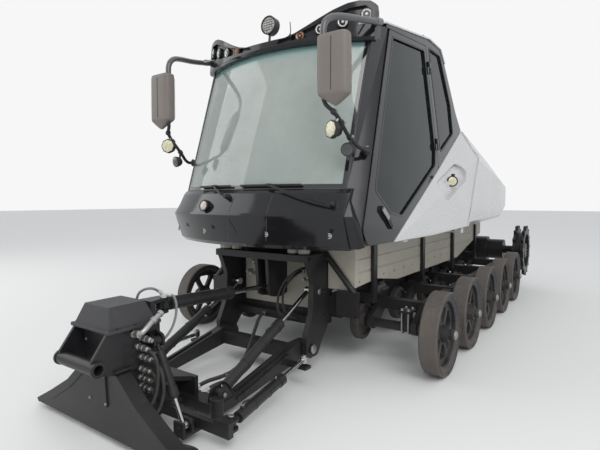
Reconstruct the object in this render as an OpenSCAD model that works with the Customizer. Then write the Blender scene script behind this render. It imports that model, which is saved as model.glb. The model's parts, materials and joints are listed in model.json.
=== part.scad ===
// Snow groomer standing on its bare road wheels, with its front implement carrier down.
// Millimetres, Z up, the nose towards -Y and the machine's left side towards +X.
// Every module below measures Y from the front axle; placed() moves the whole to its origin.

/* [Reach] */
// Furthest point ahead of the front axle, the front of the carrier's cross tube
front_reach = 2200; // [2150:10:2300]
// Furthest point behind the front axle, the end of the rear carrier's lugs
rear_reach = 4700; // [4600:10:4900]

/* [Road wheels] */
// Radius of a road wheel over its solid rubber tyre
wheel_r = 325; // [300:5:340]
// Width of the solid rubber tyre
tyre_w = 140; // [110:5:160]
// Depth of the rubber over the rim
tyre_depth = 42; // [30:1:60]
// Distance from the last axle back to the rear end
last_axle_back = 1500; // [1400:10:1600]
// Distance from the centreline to the middle of a tyre
track_x = 1310; // [1270:5:1360]
// Number of open spokes in a wheel
wheel_spokes = 6; // [5:1:8]
// Radius of the axle shaft in a hub
shaft_r = 26; // [20:1:32]
// Radius of the sleeve around an axle shaft
sleeve_r = 38; // [34:1:46]
// Radius of the small inner guide rollers
roller_r = 160; // [120:5:190]
// Width of the small inner guide rollers
roller_w = 70; // [50:5:90]
// Distance from the centreline to the middle of a guide roller
roller_x = 630; // [610:5:700]

/* [Drive sprocket] */
// Radius of a drive sprocket to the root of its teeth
sprocket_r = 330; // [300:5:350]
// Height of a tooth over the root
tooth_h = 45; // [30:1:60]
// Number of teeth
sprocket_teeth = 15; // [12:1:20]
// Distance from the sprocket's centre back to the rear end
sprocket_back = 680; // [620:10:740]
// Height of the sprocket's centre
sprocket_z = 600; // [560:10:680]

/* [Cab] */
// Half width of the cab over its doors at floor height
cab_half_low = 950; // [930:5:970]
// Half width of the cab over its doors at roof height
cab_half_high = 846; // [830:2:866]
// Height of the underside of the cab floor
floor_z = 1020; // [1000:5:1040]
// Height of the roof's side edge at its highest
roof_z = 2940; // [2900:5:2980]
// Thickness of a door or side wall
side_t = 45; // [35:1:55]
// Gap between a door and its opening
door_gap = 6; // [5:0.5:9]
// Thickness of the glass panes
glass_t = 8; // [6:0.5:12]
// Thickness of the floor and rear sheet metal
sheet_t = 40; // [20:1:50]
// Distance ahead of the front axle of the nose's crease
nose_front = 950; // [930:5:970]
// Radius of the curved nose at its crease
nose_r = 2000; // [1900:10:2100]
// Distance that the windscreen's foot stands behind the crease
screen_low_back = 120; // [110:2:130]
// Distance that the windscreen's head stands behind the crease
screen_high_back = 466; // [450:2:480]

/* [Hood and side panels] */
// Half width over the silver side panels
hood_half = 1120; // [1100:5:1140]
// Thickness of the silver panels
panel_t = 32; // [24:1:40]
// Distance back to the rear of the hood
hood_rear_y = 4150; // [4100:10:4200]

/* [Chassis] */
// Half distance between the outer faces of the main rails
rail_half = 590; // [570:5:600]
// Width of a main rail
rail_w = 90; // [70:5:110]
// Height of a main rail
rail_h = 200; // [160:10:220]
// Height of the underside of the main rails
rail_z = 400; // [390:5:420]
// Thickness of a front tower plate
tower_t = 45; // [35:1:50]
// Half distance between the inner faces of the outer tower plates
tower_half = 435; // [430:1:440]

/* [Front carrier] */
// Distance ahead of the front axle of the push frame's pivot
lift_pivot_y = 570; // [560:5:580]
// Height of the push frame's pivot
lift_pivot_z = 200; // [190:5:210]
// Distance ahead of the front axle of the swing pivot
swing_y = 1610; // [1600:2:1620]
// Radius of the swing kingpin
kingpin_r = 32; // [26:1:36]
// Height of the roll shaft's axis
roll_z = 300; // [290:5:310]
// Half width of the blade plate at its foot
plate_half = 715; // [690:5:730]
// Outer radius of the hollow cross tube
cross_tube_r = 38; // [34:1:42]
// Bore radius of the hollow cross tube
cross_bore_r = 26; // [20:1:30]
// Running clearance around pins and eyes
pin_gap = 2; // [1.5:0.5:3]
// Side clearance between an eye and its fork or boss
eye_gap = 5; // [4:0.5:7]

/* [Hidden] */
$fn = 48;
mid_y = (rear_reach - front_reach) / 2;
lift_pins_x = 375;
lift_top = [lift_pins_x, -460, 632];
lift_foot = [lift_pins_x, -1475, 150];
top_foot = [0, -swing_y, 690];
top_head = [0, -510, 636];
swing_foot = [655, -1668, 120];
swing_head = [560, -800, 200];
tilt_foot = [205, -1812, 545];
tilt_head = [430, -1812, 100];
lift_eye_w = 40;
beam_back = 175;
bulkhead_y = -330;
wheel_pitch = (rear_reach - last_axle_back) / 4;
sprocket_y = rear_reach - sprocket_back;
rail_end = rear_reach - 350;
axis_y = nose_r - nose_front;
nose_in_r = nose_r - 140;
screen_low_r = nose_r - screen_low_back;
screen_high_r = nose_r - screen_high_back;
header_r = screen_high_r + 7;
roof_cut_r = header_r;
screen_head_z = 2600;
seam = 2;
bow_fn = 240;
seam_low = [1560, 1078];
seam_mid = [2050, 1845];
seam_high = [2095, 2180];
hood_hinge = [seam_high[0] + 5, seam_high[1] + 26];
wall_lean = atan((cab_half_low - cab_half_high) / (roof_z - floor_z));

// Colours of the finishes
black_paint = [0.07, 0.07, 0.08];
gloss_black = [0.12, 0.12, 0.13];
silver_paint = [0.62, 0.63, 0.65];
cream_paint = [0.78, 0.76, 0.70];
rubber = [0.22, 0.19, 0.17];
chrome = [0.75, 0.76, 0.78];
screen_tint = [0.62, 0.72, 0.68, 0.5];
dark_tint = [0.10, 0.13, 0.12, 0.6];

// Half width of the cab's outer face and inner face at height z
function side_x(z) = cab_half_low - (z - floor_z) * tan(wall_lean);
function side_in(z) = side_x(z) - side_t / cos(wall_lean);

// Y of a point at x on a circle of radius r about the cab's nose axis
function bow_y(r, x) = axis_y - sqrt(r * r - x * x);

function unit(v) = v / norm(v);

// Points of the arc of radius r that rounds the corner q between p and s
function corner(p, q, s, r, n) =
    let (u = unit(p - q), v = unit(s - q), half = acos(u * v) / 2, d = r / tan(half),
         c = q + unit(u + v) * r / sin(half), a = q + u * d - c, b = q + v * d - c,
         a0 = atan2(a[1], a[0]), turn = (atan2(b[1], b[0]) - a0 + 540) % 360 - 180)
    [for (i = [0:n]) c + r * [cos(a0 + turn * i / n), sin(a0 + turn * i / n)]];

// An outline whose corners [y, z, radius] are rounded
function rounded(p, n = 5) =
    [for (i = [0:len(p) - 1])
        let (k = len(p), q = [p[i][0], p[i][1]], r = p[i][2],
             a = [p[(i + k - 1) % k][0], p[(i + k - 1) % k][1]],
             b = [p[(i + 1) % k][0], p[(i + 1) % k][1]])
        each (r == 0 ? [q] : corner(a, q, b, r, n))];

// Children and their mirror image on the machine's other side
module both() {
    children();
    mirror([1, 0, 0]) children();
}

// The machine's right side is the mirror image of its left
module on_side(name) {
    if (name == "right") mirror([1, 0, 0]) children();
    else children();
}

module placed() translate([0, -mid_y, 0]) children();

// A plate whose outline lies in Y and Z, from x to x + t
module side_plate(outline, x, t) {
    translate([x, 0, 0]) rotate([90, 0, 90]) linear_extrude(t) polygon(outline);
}

// A plate whose outline lies in X and Z, from y to y + t
module cross_plate(outline, y, t) {
    translate([0, y + t, 0]) rotate([90, 0, 0]) linear_extrude(t) polygon(outline);
}

// A box by its lowest corner and its highest corner
module block(a, b) translate(a) cube(b - a);

// A cylinder along X from x to x + w at [y, z]
module disc(x, w, y, z, r) translate([x, y, z]) rotate([0, 90, 0]) cylinder(r = r, h = w);

// A round bar from a to b
module bar(a, b, r) {
    v = b - a;
    translate(a) rotate([0, acos(v[2] / norm(v)), atan2(v[1], v[0])]) cylinder(r = r, h = norm(v));
}

// A bent tube through the points p, with slightly thicker round elbows
module bent_tube(p, r) {
    for (i = [0:len(p) - 2]) bar(p[i], p[i + 1], r);
    for (i = [1:len(p) - 2]) translate(p[i]) sphere(r + 2);
}

// A frame whose +X runs along the line from a to b, with Y kept level
module along(a, b) {
    v = b - a;
    translate(a) rotate([0, -asin(v[2] / norm(v)), atan2(v[1], v[0])]) children();
}

// Half of the machine in front of the nose axis, between -x and x
module front_sector(x, z0, z1) block([-x, -1200, z0], [x, 450, z1]);

// The space between the inner faces of the cab's leaning sides
module between_sides(z0, z1, gap = 0) {
    cross_plate([[-side_in(z0) + gap, z0], [side_in(z0) - gap, z0],
                 [side_in(z1) - gap, z1], [-side_in(z1) + gap, z1]], -1300, 3800);
}

// Draws an outline in Y and Z in the plane of the left leaning side, inset by x from its face
module leaning_plate(outline, inset, t) {
    translate([cab_half_low, 0, floor_z]) rotate([0, -wall_lean, 0])
        translate([-inset - t, 0, 0]) rotate([90, 0, 90]) linear_extrude(t)
            polygon([for (p = outline) [p[0], (p[1] - floor_z) / cos(wall_lean)]]);
}

// Solid of thickness v behind a patch of triangles over the outer points p
module patch(p, triangles, rim, v) {
    n = len(p);
    polyhedron(concat(p, [for (q = p) q + v]),
        concat(triangles,
               [for (t = triangles) [t[2] + n, t[1] + n, t[0] + n]],
               [for (i = [0:len(rim) - 1]) let (a = rim[i], b = rim[(i + 1) % len(rim)])
                   [b, a, a + n, b + n]]));
}

// Chassis: two main rails, cross members, the tub's posts and the drive housings
cross_members = [-300, 600, 1400, 2200, 3000, rear_reach - 1000, rail_end - 90];
tub_posts = [-45, 1175, 2300, rear_reach - 1200];
module chassis_frame() color(black_paint) {
    rail_in = rail_half - rail_w;
    difference() {
        union() {
            both() block([rail_in, -300, rail_z], [rail_half, rail_end, rail_z + rail_h]);
            for (y = cross_members)
                block([-rail_in - 1, y, rail_z + 20], [rail_in + 1, y + 90, rail_z + rail_h - 30]);
            // Front bulkhead that carries the towers
            block([-480, bulkhead_y, rail_z - 60], [480, -260, rail_z + 50]);
            both() block([400, bulkhead_y, rail_z - 60], [480, -260, 880]);
            block([-480, bulkhead_y, 840], [480, -260, 930]);
            // Outriggers with struts that carry the belly panels and the cab
            for (y = tub_posts) both() {
                strut_x = belly_x + belly_t;
                low = wheel_r + roller_r + 10;
                block([rail_half - 1, y, low], [strut_x + 30, y + 70, rail_z + 180]);
                block([strut_x, y, low], [strut_x + 30, y + 70, y < 900 ? floor_z : 1000]);
            }
            // Braces from the towers down to the first outriggers, in front of the tub
            brace_x = tower_half + tower_t;
            both() bar([brace_x + 18, -358, 900], [belly_x + 48, -358, 620], 24);
            both() block([brace_x, -382, 865], [brace_x + 20, bulkhead_y - 4, 930]);
            both() block([rail_half - 1, -382, 440], [belly_x + 75, bulkhead_y - 4, 640]);
            both() block([rail_half - 1, -382, 440], [rail_half + 60, -250, 560]);
            // Housings of the final drives
            both() disc(rail_half - 1, 480, sprocket_y, sprocket_z, 150);
            both() disc(rail_half - 1, 250, sprocket_y, sprocket_z, 190);
            both() block([rail_in, sprocket_y - 170, rail_z + rail_h - 1],
                         [rail_half, sprocket_y + 170, sprocket_z + 190]);
            // Spindles that carry the sprockets
            both() disc(rail_half + 400, track_x + 60 - rail_half - 400, sprocket_y, sprocket_z, 60);
        }
        // Lightening holes in the main rails
        for (y = [300, 1150, 1950, 2750])
            disc(-rail_half - 10, 2 * rail_half + 20, y, rail_z + rail_h / 2, 55);
    }
}

// Three tower plates under a crossbeam; the lift and top cylinders hang on their bosses
module tower_outline() {
    polygon(rounded([[-640, 935, 0], [bulkhead_y, 935, 0], [bulkhead_y, 330, 0], [-420, 230, 40],
                     [-480, 130, 60], [-630, 130, 60], [-645, 300, 50], [-560, 470, 120],
                     [-545, 720, 120]]));
}
module front_tower() color(black_paint) {
    pivot_y = -lift_pivot_y;
    difference() {
        union() {
            both() translate([tower_half, 0, 0]) rotate([90, 0, 90]) linear_extrude(tower_t)
                tower_outline();
            both() disc(tower_half, tower_t, pivot_y, lift_pivot_z, 72);
            // Crossbeam with the four round cab mounts
            block([-tower_half - tower_t, -640, 880], [tower_half + tower_t, bulkhead_y, 935]);
            for (x = [-400, -300, 300, 400])
                translate([x, -560, 934]) cylinder(r = 38, h = floor_z - 934);
            // Middle tower is a pair of plates either side of the top cylinder's eye
            for (x = [-70, 40])
                side_plate(rounded([[-600, 881, 0], [bulkhead_y, 881, 0], [bulkhead_y, 560, 0],
                                    [-440, 540, 60], [-560, 560, 50], [-585, 680, 60]]), x, 30);
            // Lower tie between the tower feet
            block([-tower_half - 1, -420, 340], [tower_half + 1, bulkhead_y, 400]);
            // Bosses that take the lift cylinders' upper pins
            both() disc(lift_pins_x + lift_eye_w / 2 + eye_gap,
                        tower_half - lift_pins_x - lift_eye_w / 2 - eye_gap + 1,
                        lift_top[1], lift_top[2], 40);
        }
        both() disc(tower_half - 1, tower_t + 2, pivot_y, lift_pivot_z, 30 + pin_gap);
    }
}

// Running gear carried by the main rails: beams, shafts, arms and the long outer rails
module axle_beams() color(black_paint) {
    shaft_end = track_x + tyre_w / 2 - 10;
    sleeve_end = track_x - tyre_w / 2;
    for (i = [0:4]) translate([0, i * wheel_pitch, 0]) both() {
        block([rail_half, beam_back, rail_z + 10], [1131, beam_back + 90, rail_z + 100]);
        disc(rail_half, shaft_end - rail_half, 0, wheel_r, shaft_r);
        disc(rail_half, sleeve_end - rail_half, 0, wheel_r, sleeve_r);
        for (x = [700, 1130 - 45]) axle_arm(x, 45);
    }
    both() block([1050, beam_back, rail_z + 10],
                 [1130, 4 * wheel_pitch + beam_back + 90, rail_z + 90]);
}

// Trailing arm from a torsion beam forward and down to the shaft
module axle_arm(x, t) {
    end = sleeve_r + 16;
    side_plate(rounded([[-end, wheel_r - end, end - 4], [-end, wheel_r + end, end - 4],
                        [beam_back + 20, rail_z + 100, 15], [beam_back + 80, rail_z + 100, 0],
                        [beam_back + 80, rail_z + 12, 15], [end - 8, wheel_r - end, end - 4]]), x, t);
}

// Small rubber rollers that guide the track's inner edge, on the shafts beside the main rails
module guide_rollers() color(rubber) {
    for (i = [0:4]) translate([0, i * wheel_pitch, 0]) both()
        translate([roller_x - roller_w / 2, 0, wheel_r]) rotate([0, 90, 0])
            rotate_extrude() polygon([
                [sleeve_r, 0], [sleeve_r + 24, 0], [sleeve_r + 28, 18], [roller_r - 38, 18],
                [roller_r - 34, 0],
                [roller_r - 8, 0], [roller_r, 10], [roller_r, roller_w - 10],
                [roller_r - 8, roller_w], [roller_r - 34, roller_w], [roller_r - 38, roller_w - 18],
                [sleeve_r + 28, roller_w - 18], [sleeve_r + 24, roller_w], [sleeve_r, roller_w]]);
}

// Engine with its gearbox, one plain mass on feet that stand on the main rails
module engine_block() color(black_paint) {
    block([-370, 1900, rail_z + rail_h + 40], [370, 3250, 1430]);
    for (y = [2000, 3000])
        block([-rail_half + 10, y, rail_z + rail_h], [rail_half - 10, y + 120, rail_z + rail_h + 60]);
}

// Cream skirts of the tub below the silver panels, and its front wall between the towers
belly_x = 700;
belly_t = 30;
module belly_panels() color(cream_paint) {
    difference() {
        both() side_plate([[bulkhead_y, 665], [80, 685], [560, 612], [2620, 600], [3940, 850],
                           [3940, 1010], [bulkhead_y, 1010]], belly_x, belly_t);
        // Pressed grooves along the skirt
        for (z = [770, 880]) both() block([belly_x + belly_t - 6, bulkhead_y + 60, z],
                                          [belly_x + belly_t + 6, 3300, z + 12]);
    }
    both() block([tower_half + tower_t + 5, bulkhead_y, 640],
                 [belly_x + 1, bulkhead_y + belly_t, 1010]);
    cross_plate([[-400, rail_z + 50], [400, rail_z + 50], [400, 840], [-400, 840]], bulkhead_y, 28);
}

// Floor of the cab with its rear wall and the slope over the engine
floor_back_y = 915;
module cab_floor() color(black_paint) {
    slab = floor_z + sheet_t;
    intersection() {
        between_sides(floor_z, 2200, 8);
        block([-1000, -900, floor_z], [1000, floor_back_y, slab]);
        union() {
            translate([0, axis_y, 0]) cylinder(r = nose_in_r - seam, h = 3000, $fn = bow_fn);
            block([-1000, 0, 0], [1000, 3000, 3000]);
        }
    }
    intersection() {
        between_sides(floor_z, 2200);
        side_plate([[floor_back_y, floor_z], [floor_back_y + sheet_t, floor_z],
                    [floor_back_y + sheet_t, 1503], [2090, 2106], [2090, 2180], [2035, 2180],
                    [2035, 2122], [floor_back_y, 1527]], -1000, 2000);
    }
    // Plates and pins of the hood's hinge
    both() {
        side_plate(rounded([[2065, 2179, 0], [2089, 2179, 0], hinge_point(14, -8, 12),
                            hinge_point(12, 14, 12), hinge_point(-10, 14, 12)]), hinge_x, 25);
        disc(hinge_x, 51, hood_hinge[0], hood_hinge[1], hinge_pin_r);
    }
}

// A rounded corner beside the hood's hinge axis
hinge_x = 480;
hinge_pin_r = 6;
function hinge_point(y, z, r) = [hood_hinge[0] + y, hood_hinge[1] + z, r];

// Gloss nose panel below the windscreen, bowed in plan, with its crease and wiper studs
module nose_section() {
    polygon([[nose_in_r, floor_z - 20], [nose_r - 100, floor_z - 20], [nose_r - 70, floor_z + 8],
             [nose_r - 4, 1228], [nose_r, 1244], [nose_r - 8, 1262], [nose_r - 88, 1412],
             [nose_r - 112, 1440], [nose_in_r, 1440]]);
}
nose_half = 855;
// Wipers as [pivot's x, pivot's height, elbow's x, blade's least x, blade's greatest x]
wiper_table = [[770, 1330, 266, 0, 520], [-100, 1385, -300, -520, -110]];
stud_h = 18;
function nose_out(z) = nose_r - 8 - (z - 1262) * 80 / 150;
module on_nose(x, z, out) {
    r = nose_out(z) + out;
    a = asin(x / r);
    translate([r * sin(a), axis_y - r * cos(a), z]) rotate([90, 0, a]) children();
}
module cab_nose() color(gloss_black) {
    intersection() {
        translate([0, axis_y, 0]) rotate_extrude($fn = bow_fn) nose_section();
        front_sector(nose_half, floor_z - 30, 1500);
    }
    for (w = wiper_table) on_nose(w[0], w[1], -20) cylinder(r = 20, h = 20 + stud_h);
    // Round marker lamp on the nose
    translate([-328, bow_y(nose_r - 40, -328), 1316]) rotate([78, 0, 0]) cylinder(r = 42, h = 40);
}

screen_half = 814;

// Outline of a door, then of its window, both as [y, z, corner radius]
door_low = [1158, 1677];
door_high = [888, 2852];
door_outline = [[0, 2738, 20], [-515, 1420, 200], [-630, 1140, 60], [-560, 1030, 90],
                [-90, 1030, 120], [door_low[0], door_low[1], 60], [door_high[0], door_high[1], 20]];
door_window = [[62, 2698, 30], [-400, 1430, 60], [-130, 1262, 60], [110, 1225, 80], [1050, 1705, 60],
               [1072, 1850, 60], [838, 2800, 30]];
quarter_window = [[975, 2868, 40], [1345, 2880, 60], [1668, 2420, 80], [1735, 2105, 50],
                  [1240, 1850, 60]];
hinge_out = 12;
leaf_gap = 4;
leaf_w = 55;
function door_axis(t) = let (q = door_low + t * (door_high - door_low))
    [side_x(q[1]) + hinge_out, q[0], q[1]];

// Knuckle on the door's hinge axis between t and u, on a leaf that lies on the side
module door_knuckle(t, u, side) {
    bar(door_axis(t), door_axis(u), 11);
    a = door_low + t * (door_high - door_low);
    b = door_low + u * (door_high - door_low);
    leaning_plate([a + [side * leaf_gap, 0], b + [side * leaf_gap, 0], b + [side * leaf_w, 0],
                   a + [side * leaf_w, 0]], -hinge_out - 3, hinge_out + 5);
}
rear_window_half = 640;

// Frame of the cab: side frames behind the doors, roof rails, pillars, header and cowl beams
module side_frame_outline() {
    polygon([roof_under[1], [-60, 2731 + door_gap], door_high + [door_gap, 2 + door_gap],
             door_low + [door_gap, 17], [2092, 2198], [2062, 2205], [1890, 2356], roof_under[4],
             roof_under[3], roof_under[2]]);
}
module side_frame() {
    difference() {
        translate([cab_half_low, 0, floor_z]) rotate([0, -wall_lean, 0])
            translate([-side_t, 0, 0]) rotate([90, 0, 90]) linear_extrude(side_t)
                translate([0, -floor_z]) side_frame_outline();
        leaning_plate(rounded(quarter_window), -10, side_t + 20);
    }
}
module pillar() {
    low = 1445;
    high = 2695;
    inset = 1;
    p = [[820, bow_y(screen_low_r, 820) - 4, low], [832, bow_y(screen_high_r, 832) - 10, high],
         [side_x(2745) - inset, -34, 2745], [side_x(1420) - inset, -538, 1420],
         [side_x(1150) - inset, -648, 1150], [side_x(1040) - inset, -610, floor_z + 5],
         [904, bow_y(nose_r - 96, 904) + 8, floor_z - 10], [912, bow_y(nose_r, 912) + 4, 1245],
         [nose_half - 5, bow_y(nose_r, nose_half - 5), 1245],
         [nose_half - 5, bow_y(nose_r - 96, nose_half - 5), floor_z - 10]];
    patch(p, [[2, 1, 0], [3, 2, 0], [4, 3, 0], [7, 4, 0], [5, 4, 7], [6, 5, 7], [8, 7, 0],
              [9, 6, 7], [9, 7, 8]],
          [0, 1, 2, 3, 4, 5, 6, 9, 8], [-side_t, 14, 0]);
}
module cab_frame() color(gloss_black) {
    both() side_frame();
    both() difference() {
        pillar();
        // Room for the brow and for the edge of the windscreen
        translate([0, axis_y, 0]) rotate_extrude($fn = bow_fn) translate([screen_high_r, 0])
            polygon([[39, 2557], [220, 2557], [220, 2900], [9, 2900], [9, 2639], [26, 2603]]);
        intersection() {
            translate([0, axis_y, 0]) rotate_extrude($fn = bow_fn) polygon([
                [screen_low_r - glass_t - seam, 1440], [screen_low_r + 60, 1440],
                [screen_high_r + 60, 2668], [screen_high_r - glass_t - seam, 2668]]);
            front_sector(screen_half + seam, 1400, screen_head_z + seam);
        }
        // Room for the nose
        intersection() {
            translate([0, axis_y, 0]) rotate_extrude($fn = bow_fn) translate([nose_in_r - seam, 900])
                square([300, 1441 - 900]);
            front_sector(nose_half + seam, 800, 1500);
        }
    }
    // Header over the windscreen and cowl beam under it
    intersection() {
        translate([0, axis_y, 0]) rotate_extrude($fn = bow_fn) union() {
            translate([header_r - 89, screen_head_z + 4]) square([89, 160]);
            translate([nose_in_r - seam - 78, 1375]) square([78, 63]);
        }
        front_sector(845, 1300, 2800);
        under_roof();
    }
    // Cross bar at the rear edge of the roof
    block([-side_in(2870) - 2, 1340, 2840], [side_in(2870) + 2, 1406, 2896]);
    both() for (t = [0.16, 0.78]) door_knuckle(t + 0.055, t + 0.1, 1);
}

// Roof skin with chamfered sides, arched over the tops of the side frames
roof_under = [[-500, 2628], [-60, 2765], [1000, roof_z + 5], [1360, roof_z + 5], [1500, roof_z - 110]];
roof_upper = [[1515, roof_z - 98], [1365, roof_z + 13], [1000, roof_z + 19], [-60, 2779], [-500, 2642]];
module roof_line(x, drop) {
    side_plate([for (q = concat(roof_under, roof_upper)) q + [0, drop]], -x, 2 * x);
}
module under_roof() {
    side_plate(concat([[-700, 1300], [-700, 2563]], [for (q = roof_under) q - [0, seam]], [[1500, 1300]]),
               -1000, 2000);
}
module roof_body() {
    difference() {
        hull() {
            roof_line(side_x(2820) + 6, 0);
            roof_line(side_x(2820) - 90, 20);
        }
        side_plate(concat([[-600, 2400], [-600, 2597]], roof_under, [[1600, 2748], [1600, 2400]]),
                   -1000, 2000);
        difference() {
            block([-1000, -900, 2500], [1000, 0, 3000]);
            translate([0, axis_y, 2500]) cylinder(r = roof_cut_r, h = 600, $fn = bow_fn);
        }
    }
}
module cab_roof() color(silver_paint) {
    difference() {
        roof_body();
        // Hollow underside
        hull() {
            roof_line(side_in(2820) - 30, -20);
            roof_line(side_in(2820) - 110, -8);
        }
    }
}

// Brow over the windscreen, a curved band that swells into a lamp housing at each corner
brow_top = [[0, 2640], [200, 2642], [290, 2665], [380, 2705], [480, 2755], [580, 2808], [680, 2850],
            [760, 2866], [830, 2862], [862, 2840], [868, 2790]];
brow_recess = [[130, 2600], [450, 2622], [700, 2655], [835, 2700], [840, 2790], [800, 2826], [700, 2812],
               [560, 2752], [420, 2692], [280, 2650], [150, 2632]];
// Lamps in the brow as [x, height, radius]
brow_lamps = [[795, 2762, 40], [625, 2706, 36], [465, 2664, 32], [325, 2638, 22]];
module brow_ring(section) {
    translate([0, axis_y, 0]) rotate_extrude($fn = bow_fn) translate([screen_high_r, 0]) polygon(section);
}
module lamp_visor() color(gloss_black) {
    n = len(brow_top);
    difference() {
        intersection() {
            brow_ring([[42, 2560], [72, 2566], [78, 2590], [52, 2890], [11, 2890], [11, 2640], [28, 2604]]);
            cross_plate(concat([[-868, 2540], [868, 2540]], [for (i = [n - 1:-1:0]) brow_top[i]],
                               [for (i = [1:n - 1]) [-brow_top[i][0], brow_top[i][1]]]), -900, 900);
        }
        both() intersection() {
            brow_ring([[46, 2500], [200, 2500], [200, 2900], [25, 2900], [52, 2590]]);
            cross_plate(brow_recess, -900, 900);
        }
    }
    both() for (l = brow_lamps) {
        r = screen_high_r + 48 - (l[1] - 2590) * 0.087;
        a = asin(l[0] / r);
        translate([r * sin(a), axis_y - r * cos(a), l[1]]) rotate([90, 0, a]) cylinder(r = l[2], h = 22);
    }
    // Search lamp on its stalk in the middle
    bar([45, -540, 2625], [45, -520, 2760], 10);
    translate([45, -490, 2772]) rotate([90, 0, 0]) cylinder(r = 72, h = 55);
}

// Sloping rear wall of the cab with its window opening
module rear_wall() color(gloss_black) {
    intersection() {
        between_sides(2100, 2900, 0.5);
        difference() {
            side_plate([[1409, 2852], [1409, 2888], [1430, 2882], [1884, 2352], [2062, 2190],
                        [2062, 2180], [2004, 2180], [1846, 2324]], -900, 1800);
            block([-rear_window_half, 1250, 2400], [rear_window_half, 2200, 2760]);
        }
    }
}

// Curved windscreen between the pillars, the cowl and the header
module windscreen() color(screen_tint) {
    intersection() {
        translate([0, axis_y, 0]) rotate_extrude($fn = bow_fn) polygon([
            [screen_low_r - glass_t, 1442], [screen_low_r, 1442],
            [screen_high_r, 2668], [screen_high_r - glass_t, 2668]]);
        front_sector(screen_half, 1400, screen_head_z);
    }
}

// Panes of the quarter windows and of the rear window
module cab_windows() color(dark_tint) {
    both() leaning_plate(rounded(quarter_window), 16, glass_t);
    intersection() {
        side_plate([[1504, 2761], [1516, 2761], [1821, 2399], [1809, 2399]], -900, 1800);
        block([-rear_window_half, 1250, 2400], [rear_window_half, 2200, 2760]);
    }
}

// Silver side panels: a bright band that flares out below the door to a crease, then the side
lamp_low = [1060, 1460];
lamp_high = [1520, 1650];
module lamp_capsule(r) {
    a = atan2(lamp_high[1] - lamp_low[1], lamp_high[0] - lamp_low[0]) + 90;
    side_plate(concat([for (i = [0:15:180]) lamp_low + r * [cos(a + i), sin(a + i)]],
                      [for (i = [0:15:180]) lamp_high - r * [cos(a + i), sin(a + i)]]), 800, 400);
}
module panel_skin(out, depth) {
    p = [[side_x(1023), -86, 1023], [side_x(1672), 1165, 1672],
         [side_x(seam_high[1]), seam_high[0], seam_high[1]],
         [hood_half - 15, seam_mid[0], seam_mid[1]], [hood_half, seam_low[0], seam_low[1]],
         [hood_half - 65, 600, 1042]];
    patch([for (q = p) q + [out, 0, 0]], [[0, 1, 3], [1, 2, 3], [0, 3, 4], [0, 4, 5]], [5, 4, 3, 2, 1, 0],
          [-depth, 0, 0]);
}
module side_panel() {
    difference() {
        union() {
            panel_skin(0, panel_t);
            // Dish of the work lamp
            intersection() {
                panel_skin(-1, 61);
                lamp_capsule(112);
            }
        }
        intersection() {
            panel_skin(40, 85);
            lamp_capsule(100);
        }
    }
    // Brackets that stand on the tub
    for (b = [[90, 975, 1042], [1430, 1090, 1085]]) {
        block([belly_x, b[0], 1010], [b[1] - 8, b[0] + 90, 1019]);
        block([b[1] - 30, b[0], 1010], [b[1] - 8, b[0] + 90, b[2]]);
    }
    // Round work lamp in the dish, turned half forward
    translate([985, 1330, 1555]) rotate([90, 0, 35]) cylinder(r = 52, h = 70);
}
module side_panels() color(silver_paint) both() side_panel();

// Hood over the engine, open below and in front, with louvres in its rear wall
module hood_form(inset, drop) {
    // Each section as its Y, then the half widths and the heights of its four corners, lowest first
    y = 0;
    half = 1;
    high = 2;
    sections = [[1540, [1060, 1108, 1104, 905], [1060, 1118, 1918, 2285]],
                [3500, [1035, 1104, 1094, 900], [1080, 1150, 1625, 1912]],
                [hood_rear_y - 1, [985, 1050, 1050, 880], [1220, 1280, 1560, 1790]]];
    hull() for (s = sections)
        cross_plate([for (m = [-1, 1], k = (m < 0 ? [0:3] : [3:-1:0]))
                        [m * (s[half][k] - inset), s[high][k] - [drop, drop, 0, inset][k]]],
                    s[y] - (s[y] > hood_rear_y - 10 ? inset : 0), 1);
}
module hood() color(silver_paint) {
    difference() {
        hood_form(0, 0);
        hood_form(panel_t, 300);
        // Everything ahead of the slanted seam
        side_plate([[1000, 900], [seam_low[0] + 8, 900], [seam_low[0] + 8, seam_low[1]],
                    [seam_mid[0] + 9, seam_mid[1]], [seam_high[0] + 9, seam_high[1]],
                    [seam_high[0] + 20, 2500], [1000, 2500]], -1300, 2600);
        for (z = [1420:45:1640]) block([-620, hood_rear_y - 90, z], [620, hood_rear_y + 90, z + 22]);
        // Notches around the hinge plates
        both() block([hinge_x - 6, 2000, 2080], [hinge_x + 31, hood_hinge[0] + 40, 2300]);
    }
    // Lugs of the hinge along the front of the hood's top
    both() difference() {
        side_plate(rounded([hinge_point(-13, -12, 8), hinge_point(-13, 13, 10), hinge_point(13, 13, 8),
                            [2200, 2166, 0], [2200, 2136, 0], [2132, 2150, 0],
                            hinge_point(12, -13, 0)]), hinge_x + 31, 20);
        disc(hinge_x, 80, hood_hinge[0], hood_hinge[1], hinge_pin_r + pin_gap);
    }
}

// Doors in the plane of the leaning sides, hinged along their rear edge
module door(name) on_side(name) color(gloss_black) {
    difference() {
        leaning_plate(rounded(door_outline), 0, side_t);
        leaning_plate(rounded(door_window), -10, side_t + 20);
    }
    // Grab handle
    leaning_plate(rounded([[-345, 1290, 14], [-312, 1322, 14], [-110, 1160, 14], [-145, 1126, 14]]),
                  -22, 24);
    for (t = [0.16, 0.78]) door_knuckle(t, t + 0.05, -1);
}
module door_glass(name) on_side(name) color(dark_tint)
    leaning_plate(rounded(door_window), 16, glass_t);

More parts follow.
